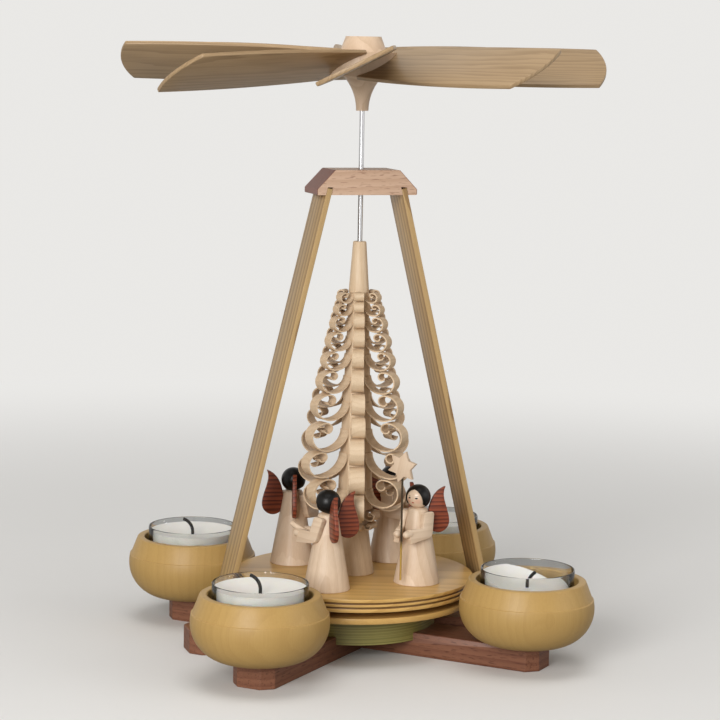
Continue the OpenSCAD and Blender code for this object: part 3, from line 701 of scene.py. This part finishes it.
def wick_finish():
    """Cotton that has burnt black, with ash-grey threads."""
    finish, start, shader = new_finish("burnt wick")
    here = bench_place(start)
    thread = noise(here, (1, 1, 0.4), 1800, 2)
    height = axes(here)[2]
    feed(shader, Base_Color=blend_colour(soft_step(thread, 0.45, 0.75), rgb(0.008, 0.007, 0.006),
                                         rgb(0.07, 0.06, 0.05)),
         Roughness=0.75 + height * 0.5, Normal=bump(thread, 0.6, 0.2))
    return finish


cup_finish = clear_finish()
candle_finish = wax_finish()
char_finish = wick_finish()
print("tea light finishes ready")

# %% Cups
LIGHT_FLOOR = 34
cup_profile = [
    (24.6, 0.35), (25.2, 0.0), (26.6, 0.0), (27.05, 0.3), (27.2, 0.9), (27.2, 23.2), (27.12, 23.75),
    (26.85, 24.0), (26.55, 23.85), (26.4, 23.3), (26.4, 1.6), (26.1, 1.0), (25.4, 0.8)]
bench_cup = turn("bench cup", cup_profile, 96)


def station(number):
    """The place of a tea light in its bowl."""
    angle = STATIONS[number]
    return about(angle, "Z") @ shift(BOWL_CIRCLE, 0, LIGHT_FLOOR) @ about(-angle, "Z")


for number in STATIONS:
    cup = lay(bench_cup, f"clear_cup_{number}", station(number), "z")
    dress(cup, f"tea_light_{number}", "clear_cup", cup_finish, f"tea_cup_{number}")
clear(bench_cup)
print("cups:", len(STATIONS))

# %% Wax
WAX_RADIUS, WAX_FLAT = 26.3, 24.2
WAX_TOP, WAX_DIP = 20.6, 3.6
wax_rings = [WAX_FLAT - 1.2 * k for k in range(1, 19)]


def wax(name, top, dip):
    """Wax with a rim that creeps up the cup and a dip round the wick."""
    profile = [(25.2, 0.95), (WAX_RADIUS - 0.15, 1.7), (WAX_RADIUS, 2.4), (WAX_RADIUS, top - 0.1)]
    profile += [(26.2, top + 0.45), (25.9, top + 0.4), (25.2, top + 0.12), (WAX_FLAT, top)]
    profile += [(radius, top - 0.05 - dip * (1 - (radius / WAX_FLAT) ** 2)) for radius in wax_rings]
    profile += [(1.2, top - dip + 0.35)]
    return turn(name, profile, 96)


bench_wax = wax("bench wax", WAX_TOP, WAX_DIP)
for number in (1, 2, 3):
    candle = lay(bench_wax, f"wax_{number}", station(number), "z")
    dress(candle, f"tea_light_{number}", "wax", candle_finish, f"tea_wax_{number}")
clear(bench_wax)
print("wax dips by", WAX_DIP, "mm")

# %% Melted wax
POOL_DEPTH = 11.0
POOL_EDGE, POOL_CREST, POOL_STEPS = 0.95, 1.42, 40
POOL_X, POOL_Y = 0.36, -0.34
pool_top = WAX_TOP - POOL_DEPTH
melted = wax("bench melted wax", pool_top, 0)
pool_middle = Vector((POOL_X * WAX_RADIUS * MM, POOL_Y * WAX_RADIUS * MM, 0))
edit(melted)
for step in range(POOL_STEPS):
    beyond = (POOL_EDGE + (POOL_CREST - POOL_EDGE) * step / POOL_STEPS) * WAX_RADIUS * MM
    raised = pick(melted, "VERT", lambda v: v.co.z > (pool_top - 0.5) * MM
                  and (Vector((v.co.x, v.co.y, 0)) - pool_middle).length > beyond)
    bpy.ops.transform.translate(value=(0, 0, POOL_DEPTH / POOL_STEPS * MM))
leave()
smooth(melted, 60)
dress(lay(melted, "wax_4", station(4), "z"), "tea_light_4", "wax", candle_finish, "tea_wax_4")
clear(melted)
print("melted wax:", raised, "points raised")

# %% Wicks
WICK_RADIUS, WICK_SIDES = 1.0, 14
WICK_STEM, STEM_STEPS, WICK_RISE = 8, 6, 3
WICK_BEND, BEND_STEPS, BEND_TURN = 8.5, 12, -6
WICK_KNOT, WICK_NECK = 1.06, 0.97
WICK_LEANS = {1: 60, 2: 168, 3: 160, 4: 20}


def wick(name, rise):
    """A wick: a small disc extruded up and then round its burnt bend, with small knots."""
    piece = begin(name, bpy.ops.mesh.primitive_circle_add, vertices=WICK_SIDES, radius=WICK_RADIUS * MM,
                  fill_type="NGON", location=(0, 0, (rise - WICK_STEM) * MM))
    edit(piece)
    pick_all()
    for _ in range(STEM_STEPS):
        extrude(0, 0, WICK_STEM / STEM_STEPS)
    bend_middle = (WICK_BEND * MM, 0, rise * MM)
    for step in range(BEND_STEPS):
        extrude(0, 0, 0)
        bpy.ops.transform.rotate(value=radians(BEND_TURN), orient_axis="Y", center_override=bend_middle)
        swell = WICK_KNOT if step % 3 == 1 else WICK_NECK
        bpy.ops.transform.resize(value=(swell, swell, swell))
    leave()
    smooth(piece, 60)
    return piece


for number, lean in WICK_LEANS.items():
    surface = WAX_TOP - (POOL_DEPTH if number == 4 else WAX_DIP)
    bench_wick = wick("bench wick", surface + WICK_RISE)
    tip = max(bench_wick.data.vertices, key=lambda v: v.co.z).co.copy()
    burnt = lay(bench_wick, f"wick_{number}", station(number) @ about(lean, "Z"), "z")
    dress(burnt, f"tea_light_{number}", "wick", char_finish, f"tea_wick_{number}")
    clear(bench_wick)
print("wick tip bends to", [round(v / MM, 1) for v in tip])

# %% [markdown]
# ## The shaved tree
# A stick of linden is turned, and its maker then pushes a chisel down it, again and again, so that each
# shaving curls away but stays on. A shaving leaves the stick downwards, sweeps out and rolls up into an
# eye. One edge is extruded along that path, tier by tier, and the ribbon gets its thickness. Every second
# column starts one tier lower, so there are two sets of ribbons. Each is copied to three columns and
# swung by chance a little, because no two real shavings are alike.

# %% Shaving path
TREE_FLOOR = 42.0
CROWN_TOP, FOOT_TOP = 170.0, 39.0
TIERS, COLUMNS, TREE_TURN = 11, 6, 14.0
FIRST_TIER = 6.0
TIER_GROWTH = 2 * (CROWN_TOP - FOOT_TOP - TIERS * FIRST_TIER) / (TIERS * (TIERS - 1))
LAST_DROP, LAST_FALL = 4.5, 4
FIRST_TURN, END_TURN, ROOT_RISE = 0.48, 0.43, 0.4
COLLARS = ((0.8, 5.6, 8.0), (8.0, 3.6, 5.0))
FIRST_REACH, REACH_GROWTH, WIDEST_REACH = 12.8, 23.8, 36.6
WIDEST_TIER, REACH_POWER = TIERS - 2.4, 1.25
CORE_TOP, CORE_SPREAD = 5.0, 4.2
FOOT, FOOT_TAPER = 12.0, 5.3
SHAVING, LOOP_AIR, LOOP_SHARE = 0.8, 0.3, 0.8
LOOP_LOW, LOOP_HIGH = 0.54, 0.46
LOOP_WIDE = 1.22
EYE_TURNS = ((0.28, 0.20), (0.19, 0.18), (0.15, 0.12))
EVEN_SETTLE = (-0.4, -0.3, -1.0, -2.3, -2.9, -4.2, -3.0, -0.3, 0, 0, 0)
ODD_NARROW = 0.945
ODD_SETTLE = (0, 4.5, 5.6, 6.3, 6.4, 7.9, 8.2, 7.4, 6.3, 6.7, 5.8)


def core_reach(height):
    """Half-width of the six-sided stick."""
    return CORE_TOP + CORE_SPREAD * (CROWN_TOP - height) / (CROWN_TOP - FOOT_TOP)


def foot_reach(height):
    """Radius of the turned foot."""
    return FOOT - FOOT_TAPER * height / FOOT_TOP


def shaving_path(root, low, reach, loop, steps=8):
    """Points of a shaving: a wide quarter turn from the stick, a loop of two more, and a tight eye."""
    quarters = [(LOOP_WIDE * share * loop, share * loop) for share in (LOOP_LOW, LOOP_HIGH)]
    sweep = reach - root - quarters[0][0]
    quarters = [(sweep, sweep / LOOP_WIDE)] + quarters
    for wide, tall in EYE_TURNS:
        size = loop * chance.uniform(0.9, 1.1)
        quarters.append((wide * size, tall * size))
    spot = Vector((root, low + sweep / LOOP_WIDE))
    points = [spot]
    for k, (wide, tall) in enumerate(quarters):
        angles = [radians(90 * (k + 2 + step / steps)) for step in range(steps + 1)]
        ring = [Vector((wide * cos(a), tall * sin(a))) for a in angles]
        points += [spot + there - ring[0] for there in ring[1:]]
        spot = points[-1]
    return points


def crown_rows(first, settle, narrow):
    """The rows of a set of columns: where each shaving leaves the stick, its low point, reach and loop."""
    found = []
    for row in range(first, TIERS):
        last = row == TIERS - 1
        top = CROWN_TOP - FIRST_TIER * row - TIER_GROWTH * row * (row - 1) / 2 - last * LAST_DROP
        tier = FIRST_TIER + TIER_GROWTH * row
        reach = FIRST_REACH + REACH_GROWTH * (row / WIDEST_TIER) ** REACH_POWER
        reach = min(WIDEST_REACH - last * LAST_FALL, reach)
        first_turn = END_TURN if last or row == 0 else FIRST_TURN
        low = top - (reach - core_reach(top) - SHAVING / 2 - first_turn * tier) + settle[row]
        loop = found[-1][1] - low - SHAVING - LOOP_AIR if found else LOOP_SHARE * tier
        reach *= narrow
        found.append((core_reach(low + ROOT_RISE * reach), low, reach, loop))
    return found


collars = []
for drop, tier, past_foot in COLLARS:
    top = FOOT_TOP - drop
    around = foot_reach(top)
    collars.append((around, top - past_foot + 0.5 * tier, around + past_foot, LOOP_SHARE * tier))
even_rows = crown_rows(0, EVEN_SETTLE, 1) + collars
odd_rows = crown_rows(1, ODD_SETTLE, ODD_NARROW) + collars
print("loops of the even columns:", [round(row[3], 1) for row in even_rows])


# %% Shavings
NARROWING, RIBBON_GAP, SWING = 0.997, 0.1, 1.2


def ribbon(name, path, width):
    """A shaving: one edge of a plane extruded along its path, a little narrower towards the eye."""
    first, second = path[0], path[1]
    piece = begin(name, bpy.ops.mesh.primitive_plane_add, size=2)
    edit(piece)
    mesh = bmesh.from_edit_mesh(piece.data)
    for corner in mesh.verts:
        spot = second if corner.co.x > 0 else first
        corner.co = (spot.x * MM, copysign(width / 2 * MM, corner.co.y), spot.y * MM)
    bmesh.update_edit_mesh(piece.data)
    far = Vector((second.x * MM, 0, second.y * MM))
    pick(piece, "EDGE", lambda edge: ((edge.verts[0].co + edge.verts[1].co) / 2 - far).length < 1e-6)
    for before, after in zip(path[1:], path[2:]):
        step = (after - before) * MM
        bpy.ops.mesh.extrude_edges_move(TRANSFORM_OT_translate={"value": (step.x, 0, step.y)})
        bpy.ops.transform.resize(value=(1, NARROWING, 1), center_override=(after.x * MM, 0, after.y * MM))
    leave()
    modify(piece, "SOLIDIFY", thickness=SHAVING * MM, offset=0)
    smooth(piece, 40)
    return piece


shavings = []
all_rows = [(0, *row) for row in even_rows] + [(1, *row) for row in odd_rows]
for first_column, core_side, low, reach, loop in all_rows:
    width = 2 * core_side * tan(radians(180 / COLUMNS)) - RIBBON_GAP
    path = shaving_path(core_side + SHAVING / 2, low, reach, loop)
    bench_ribbon = ribbon("bench ribbon", path, width)
    hinge = shift(path[0].x, 0, path[0].y)
    for column in range(first_column, COLUMNS, 2):
        swing = about(chance.uniform(-SWING, SWING), "Y") @ about(chance.uniform(-SWING, SWING), "Z")
        place = (shift(0, 0, TREE_FLOOR) @ about(TREE_TURN + column * 360 / COLUMNS, "Z")
                 @ hinge @ swing @ hinge.inverted())
        shavings.append(lay(bench_ribbon, "shaving", place, "x", 20))
    clear(bench_ribbon)
print("shavings:", len(shavings))

# %% Stick of the tree
TREE_TOP = 199.0
tip_and_foot = turn("bench foot", [
    (FOOT - 0.3, 0), (FOOT, 0.35), (6.9, FOOT_TOP - 1.2), (6.7, FOOT_TOP), (5.6, FOOT_TOP + 1),
    (5.2, CROWN_TOP - 2), (6.0, CROWN_TOP - 0.9), (6.0, CROWN_TOP - 0.1), (3.95, TREE_TOP - 0.5),
    (3.6, TREE_TOP), (1.55, TREE_TOP)], 64)
core = begin("bench core", bpy.ops.mesh.primitive_cylinder_add, vertices=COLUMNS, radius=MM,
             depth=(CROWN_TOP - FOOT_TOP) * MM, location=(0, 0, (CROWN_TOP + FOOT_TOP) / 2 * MM))
edit(core)
corner = 1 / cos(radians(180 / COLUMNS))
for height in (FOOT_TOP, CROWN_TOP):
    pick(core, "VERT", lambda v: abs(v.co.z - height * MM) < MM)
    share = core_reach(height) * corner
    bpy.ops.transform.resize(value=(share, share, 1), center_override=(0, 0, height * MM))
leave()
stick = [lay(tip_and_foot, "tree foot", shift(0, 0, TREE_FLOOR), "z"),
         lay(core, "tree core", shift(0, 0, TREE_FLOOR) @ about(TREE_TURN, "Z"), "z")]
clear(tip_and_foot, core)
tree = join(stick + shavings)
tree.name = "shaved_tree"
dress(tree, "rotor", "tree_linden", tree_finish, "tree")
print("tree:", len(tree.data.polygons), "faces")

# %% [markdown]
# ## The wing wheel
# The blades are thin boards with a straight root in the hub's slot, slightly swelling long edges and
# a round tip. One board is sawn and eased, and the copies are turned round the hub and pitched. One of
# them hangs a little lower than the others.

# %% Blades
BLADES = 8
BLADE_TURN, BLADE_PITCH = 25.4, 26.5
BLADE_DROOP = {5: 2.5}
BLADE_HEIGHT = 344.5
BLADE_THICK, BLADE_EASE = 2.4, 0.6
SIDE_STEPS = 16
ROOT, TIP = 12.0, 141.5
ROOT_HALF, TIP_HALF, SWELL, TIP_ROUND = 18.0, 22.5, 2.6, 54.0
shoulder = TIP - TIP_ROUND + sqrt(TIP_ROUND ** 2 - TIP_HALF ** 2)
run = Vector((shoulder - ROOT, TIP_HALF - ROOT_HALF))
normal = Vector((-run.y, run.x)).normalized()
side = []
for k in range(SIDE_STEPS + 1):
    share = k / SIDE_STEPS
    swell = 4 * SWELL * share * (1 - share)
    side.append(Vector((ROOT, ROOT_HALF)) + run * share + normal * swell)
tip_angle = degrees(asin(TIP_HALF / TIP_ROUND))
tip_arc = arc((TIP - TIP_ROUND, 0), TIP_ROUND, tip_angle, -tip_angle, 16)[1:-1]
blade_outline = [tuple(p) for p in side] + tip_arc + [(p.x, -p.y) for p in reversed(side)]
bench_blade = board("bench blade", blade_outline, BLADE_THICK, BLADE_EASE)
for number in range(1, BLADES + 1):
    place = (shift(0, 0, BLADE_HEIGHT) @ about(BLADE_TURN + (number - 1) * 360 / BLADES, "Z")
             @ about(BLADE_DROOP.get(number, 0), "Y") @ about(BLADE_PITCH, "X") @ about(-90, "X"))
    blade = lay(bench_blade, f"wing_blade_{number}", place, "x", 15)
    dress(blade, "rotor", "blade_wood", blade_finish, f"blade_{number}")
clear(bench_blade)
print("blades:", BLADES)

# %% [markdown]
# ## The struts
# Two boards lean from the strut bar to the block. Each is a cube stretched to its board, with eased edges,
# leaned over and moved out to its side. The grain runs up the board.

# %% Struts
STRUT_THICK, STRUT_DEPTH = 3.3, 26.0
FOOT_REACH, HEAD_REACH = 84.5, 23.5
STRUT_LOW, STRUT_HIGH = 8.0, 273.5
END_ROOM, STRUT_EASE = 1.5, 0.45
lean = degrees(atan((FOOT_REACH - HEAD_REACH) / (BLOCK_LOW - BAR_TOP)))
strut_length = (STRUT_HIGH - STRUT_LOW) / cos(radians(lean)) - END_ROOM
bench_strut = begin("bench strut", bpy.ops.mesh.primitive_cube_add, size=1)
edit(bench_strut)
pick_all()
bpy.ops.transform.resize(value=(STRUT_THICK * MM, STRUT_DEPTH * MM, strut_length * MM))
bpy.ops.mesh.bevel(offset=STRUT_EASE * MM, segments=2, affect="EDGES")
leave()
smooth(bench_strut)
middle = (STRUT_LOW + STRUT_HIGH) / 2
reach_there = FOOT_REACH - (middle - BAR_TOP) * tan(radians(lean))
for name, sign in (("strut_right", 1), ("strut_left", -1)):
    place = shift(sign * reach_there, 0, middle) @ about(-sign * lean, "Y")
    dress(lay(bench_strut, f"board_{name}", place, "z", 10), "base", "strut_wood", strut_finish, name)
clear(bench_strut)
print("struts lean by", round(lean, 2), "degrees")

# %% [markdown]
# ## The angels
# Each angel is a turned cone with a ball head, two sawn sleeves with round hands, and two dark wings.
# The hair is a glossy black cap with a pointed window cut by two planes, and the face is painted on
# the ball. They are modelled once at the bench, facing +X, and copied to their places on the turntable.

# %% Angel places
ANGEL_TURNS = {1: 42, 2: 128, 3: 233, 4: 311}
ANGEL_REACHES = {1: 44.5, 2: 45.5, 3: 47.0, 4: 43.5}
ANGEL_FACINGS = {1: -4, 2: -6, 3: -8, 4: 0}
SKIRT, SHOULDER, BODY = 13.6, 5.6, 45.0
HEAD, NECK = 6.7, 2.8
SKIRT_SPIN = 47
HEAD_HEIGHT = BODY + sqrt(HEAD ** 2 - NECK ** 2)
SKIRT_LEAN = degrees(atan((SKIRT - SHOULDER) / BODY))


def angel(number):
    """The place of an angel: it stands on the turntable and faces round it."""
    return (about(ANGEL_TURNS[number], "Z") @ shift(ANGEL_REACHES[number], 0, TREE_FLOOR)
            @ about(ANGEL_FACINGS[number] - 90, "Z"))


bench_body = turn("bench body", [
    (13.3, 0), (13.6, 0.3), (13.45, 0.9), (10.6, 17), (7.9, 32), (5.95, 43), (5.75, 43.7), (5.3, 44.3),
    (4.4, 44.75), (NECK, BODY)], 72)
for number in ANGEL_TURNS:
    skirt = lay(bench_body, f"skirt_{number}", angel(number) @ about(SKIRT_SPIN * number, "Z"), "z", 5)
    dress(skirt, "rotor", "figure_wood", figure_finish, f"angel_{number}_body")
clear(bench_body)
print("skirt leans by", round(SKIRT_LEAN, 2), "degrees")


# %% Painted face
def face_paint(here, wood_colour):
    """Two eyes, a small mouth and faint cheeks, placed on the ball seen from the front."""
    x, y, z = axes(here)
    ahead = x > 0.0

    def spot(across, up, wide, tall, soft):
        far = ((y - across * MM) / (wide * MM)) ** 2 + ((z - up * MM) / (tall * MM)) ** 2
        return (1 - soft_step(far, 1 - soft, 1 + soft)) * ahead

    colour = wood_colour
    for sign in (1, -1):
        colour = blend_colour(spot(sign * 3.0, -1.6, 1.7, 1.5, 0.95) * 0.35, colour, rgb(0.62, 0.22, 0.14))
        colour = blend_colour(spot(sign * 2.3, 0.1, 0.85, 0.5, 0.25), colour, rgb(0.02, 0.014, 0.012))
        colour = blend_colour(spot(sign * 2.4, 1.2, 1.05, 0.17, 0.4) * 0.7, colour, rgb(0.05, 0.03, 0.02))
    return blend_colour(spot(0, -2.7, 0.85, 0.36, 0.25), colour, rgb(0.45, 0.05, 0.035))


def hair_finish():
    """Glossy black lacquer with faint combed lines."""
    finish, start, shader = new_finish("black hair")
    here = bench_place(start)
    comb = noise(here, (1, 1, 0.2), 900, 2)
    feed(shader, Base_Color=blend_colour(comb, rgb(0.002, 0.0018, 0.0016), rgb(0.007, 0.005, 0.004)),
         Roughness=0.3 + comb * 0.1, Specular_IOR_Level=0.25, Normal=bump(comb, 0.06, 0.05))
    return finish


face_finish = wood("painted face", (0.76, 0.58, 0.42), (0.60, 0.42, 0.27), pith=(20, 9), ring_depth=0.15,
                   fibre_depth=0.3, rough=0.35, coat=0.3, paint=face_paint)
lacquer_hair = hair_finish()
print("face and hair finishes ready")

# %% Face ball
bench_face = begin("bench face", bpy.ops.mesh.primitive_uv_sphere_add, segments=48, ring_count=32,
                   radius=HEAD * MM)
edit(bench_face)
pick_all()
bpy.ops.mesh.bisect(plane_co=(0, 0, (BODY - HEAD_HEIGHT) * MM), plane_no=(0, 0, -1), use_fill=True,
                    clear_outer=True)
leave()
smooth(bench_face, 50)
print("face ball:", len(bench_face.data.polygons), "faces")

# %% Hair
HAIR, HAIR_OVERLAP, HAIR_END = 0.7, 0.15, -5.0
FACE_DOWN, PARTING, FACE_WINDOW = 18, 18, 68
bench_hair = begin("bench hair", bpy.ops.mesh.primitive_uv_sphere_add, segments=64, ring_count=48,
                   radius=(HEAD + HAIR) * MM, rotation=(0, radians(90 + FACE_DOWN), 0))
face_axis = Vector((cos(radians(FACE_DOWN)), 0, -sin(radians(FACE_DOWN))))
curtains = [about(side * PARTING, "Z") @ face_axis for side in (1, -1)]
hairline = (HEAD + HAIR) * MM * cos(radians(FACE_WINDOW))
edit(bench_hair)
for axis in curtains:
    pick_all()
    bpy.ops.mesh.bisect(plane_co=axis * hairline, plane_no=axis, threshold=1e-7)
window = pick(bench_hair, "FACE", lambda face: all(v.co.dot(axis) > hairline - 1e-6 for v in face.verts
                                                   for axis in curtains))
bpy.ops.mesh.delete(type="FACE")
pick_all()
bpy.ops.mesh.bisect(plane_co=(0, 0, HAIR_END * MM), plane_no=(0.35, 0, -1), use_fill=False, clear_outer=True)
pick_all()
bpy.ops.mesh.remove_doubles(threshold=0.02 * MM)
leave()
modify(bench_hair, "SOLIDIFY", thickness=(HAIR + HAIR_OVERLAP) * MM, offset=-1)
smooth(bench_hair, 60)
for number in ANGEL_TURNS:
    place = angel(number) @ shift(0, 0, HEAD_HEIGHT)
    head = lay(bench_face, f"face_{number}", place, "z", 0)
    dress(head, "rotor", "head_wood", face_finish, f"angel_{number}_head")
    hair = lay(bench_hair, f"hair_{number}", place, "z")
    dress(hair, "rotor", "head_wood", lacquer_hair)
clear(bench_face, bench_hair)
print("face window:", window, "faces cut out")

# %% Sleeves and hands
SLEEVE, SLEEVE_EASE, ARM_SEAT, TOE_IN = 3.4, 0.4, 0.5, 20
CUFF_TOP, CUFF, FOREARM = 34.4, 8.2, 15.0
HAND, HAND_REACH = 4.4, 3.4
HAND_UP = CUFF_TOP - 2.6
sleeve_outline = [
    (-5.0, 41.8), (-4.6, 42.8), (-3.4, 43.4), (0.9, 43.4), (2.2, 42.8), (2.6, 41.8), (4.2, CUFF_TOP),
    (FOREARM, CUFF_TOP), (FOREARM - 0.6, CUFF_TOP - CUFF), (0.6, 28.0), (-1.2, 28.8), (-2.4, 30.4)]
bench_sleeve = board("bench sleeve", sleeve_outline, SLEEVE, SLEEVE_EASE)
bench_hand = turn("bench hand", [(1.6, -2.0), (HAND / 2, -1.9), (HAND / 2, 0.6)]
                  + arc((0, 1.2), HAND / 2, 0, 80, 6), 24)
hand_at = shift(FOREARM, 0, HAND_UP) @ about(90, "Y")
lean_in = radians(SKIRT_LEAN)
arm_root = SKIRT - ARM_SEAT / cos(lean_in)
for number in ANGEL_TURNS:
    for name, sign in (("left", 1), ("right", -1)):
        place = (angel(number) @ about(-sign * TOE_IN, "Z") @ shift(0, sign * arm_root, 0)
                 @ about(sign * SKIRT_LEAN, "X") @ shift(0, sign * SLEEVE / 2, 0))
        sleeve = lay(bench_sleeve, f"sleeve_{name}_{number}", place, "x", 6)
        hand = lay(bench_hand, "hand", place @ hand_at, "z", 6)
        dress(join([sleeve, hand]), "rotor", "figure_wood", figure_finish, f"angel_{number}_arm_{name}")
clear(bench_sleeve, bench_hand)
print("sleeves:", 2 * len(ANGEL_TURNS))

# %% [markdown]
# ## Wings, star and flute
# The wings are sawn from dark red-brown board in the form of a flame: a round lobe below and a tip that
# leans out. The grain runs across them. The star is a ring of twelve points of which every second one is
# drawn in. The flute is a short plain pipe with a hollow end, and lies across the hands.


# %% Wings
def curve(a, b, c, d, steps):
    """Points of a cubic curve between a and d with handles b and c."""
    points = []
    for k in range(steps + 1):
        t = k / steps
        points.append(tuple((1 - t) ** 3 * p + 3 * t * (1 - t) ** 2 * q + 3 * t * t * (1 - t) * r + t ** 3 * s
                            for p, q, r, s in zip(a, b, c, d)))
    return points


WING_WIDE, WING_TALL, WING_THICK = 13.2, 27.5, 2.4
WING_LIFT, WING_ROOT, WING_SWEEP = 29.5, 5.84, 135
WING_EASE = 0.45
lobe = WING_WIDE / 2
wing_tip = (0.8 * WING_WIDE, WING_TALL)
wing_outline = curve((0, lobe), (0, 0.72 * WING_TALL), (0.34 * WING_WIDE, 0.93 * WING_TALL), wing_tip, 14)
wing_outline += curve(wing_tip, (0.54 * WING_WIDE, 0.78 * WING_TALL), (WING_WIDE, 0.5 * WING_TALL),
                      (WING_WIDE, lobe), 14)[1:]
wing_outline += arc((lobe, lobe), lobe, 0, -180, 16)[1:-1]
bench_wing = board("bench wing", wing_outline, WING_THICK, WING_EASE)
for number in ANGEL_TURNS:
    pair = []
    for sign in (1, -1):
        place = angel(number) @ about(sign * WING_SWEEP, "Z") @ shift(WING_ROOT, 0, WING_LIFT)
        pair.append(lay(bench_wing, f"wings_{number}", place, "x", 6))
    dress(join(pair), "rotor", "wing_mahogany", wing_finish, f"angel_{number}_wings")
clear(bench_wing)
print("wings:", 2 * len(ANGEL_TURNS))

# %% Star
STAR, STAR_THICK, STAR_EASE = 9.6, 2.6, 0.25
STAR_HEIGHT, STAR_TILT = 71.5, 14
toe = radians(TOE_IN)
along = FOREARM + HAND_REACH / 2
out = arm_root - (CUFF_TOP - CUFF / 2) * sin(lean_in) + SLEEVE / 2 * cos(lean_in)
hand_ahead = along * cos(toe) + out * sin(toe)
hand_side = out * cos(toe) - along * sin(toe)
hand_up = HAND_UP * cos(lean_in) + SLEEVE / 2 * sin(lean_in)
star_outline = []
for k in range(12):
    radius = STAR if k % 2 == 0 else STAR / sqrt(3)
    turned = radians(30 * k)
    star_outline.append((radius * sin(turned), radius * cos(turned)))
bench_star = board("bench star", star_outline, STAR_THICK, STAR_EASE)
place = angel(4) @ shift(hand_ahead, 0, STAR_HEIGHT) @ about(90, "Z") @ about(STAR_TILT, "Y")
dress(lay(bench_star, "sawn_star", place, "z", 6), "rotor", "figure_wood", figure_finish, "star")
clear(bench_star)
print("star stands", round(hand_ahead, 1), "mm ahead of its angel")

# %% Flute
FLUTE, FLUTE_LENGTH, FLUTE_RAISE = 1.65, 12.0, 25
FLUTE_BACK, FLUTE_OFF_HAND = 6.4, 3.95
flute_rise = sqrt(FLUTE_OFF_HAND ** 2 - hand_side ** 2)
bench_flute = turn("bench flute", [
    (1.4, 0), (1.6, 0.2), (FLUTE, 0.5), (FLUTE, FLUTE_LENGTH - 0.4), (1.6, FLUTE_LENGTH - 0.1),
    (1.4, FLUTE_LENGTH), (0.8, FLUTE_LENGTH), (0.75, FLUTE_LENGTH - 2.5)], 32)
place = (angel(3) @ shift(hand_ahead, 0, hand_up + flute_rise) @ about(90 - FLUTE_RAISE, "Y")
         @ shift(0, 0, -FLUTE_BACK))
dress(lay(bench_flute, "turned_flute", place, "z", 3), "rotor", "figure_wood", figure_finish, "flute")
clear(bench_flute)
print("flute lies", round(flute_rise, 1), "mm above the hands")

# %% [markdown]
# ## Floor finish
# The floor near the object takes its shadow. Further off, floor and wall show one even pale tone to the
# camera, to mirrors and through glass, so that no corner of the room shows.


# %% Floor finish
BACKDROP = rgb(0.82, 0.81, 0.79)
SHADOW_REACH, EVEN_FROM = 0.3, 1.1


def pale_floor():
    """Plain pale paper that takes shadows near the object and is an even tone further off."""
    finish, start, shader = new_finish("pale floor")
    here = object_place(start)
    cloud = noise(here, (1, 1, 1), 3, 2)
    straight = start.add("LightPath", {}, {}, "Is Camera Ray")
    paper_colour = blend_colour(cloud, rgb(0.79, 0.78, 0.76), rgb(0.83, 0.82, 0.80))
    feed(shader, Base_Color=blend_colour(straight, rgb(0.40, 0.395, 0.385), paper_colour), Roughness=0.8)
    far = start.add("VectorMath", {"operation": "LENGTH"}, {0: here}, "Value")
    seen = 0.0
    for ray in ("Is Camera Ray", "Is Glossy Ray", "Is Transmission Ray"):
        seen = start.math("MAXIMUM", start.add("LightPath", {}, {}, ray), seen)
    glow = start.add("Emission", {}, {"Color": BACKDROP})
    paper = Wire(start.tree, shader.outputs["BSDF"])
    even = soft_step(far, SHADOW_REACH, EVEN_FROM) * seen
    both = start.add("MixShader", {}, {0: even, 1: paper, 2: glow})
    start.tree.links.new(both.socket, start.tree.nodes["Material Output"].inputs["Surface"])
    return finish


floor.data.materials.append(pale_floor())
print("materials:", len(bpy.data.materials))
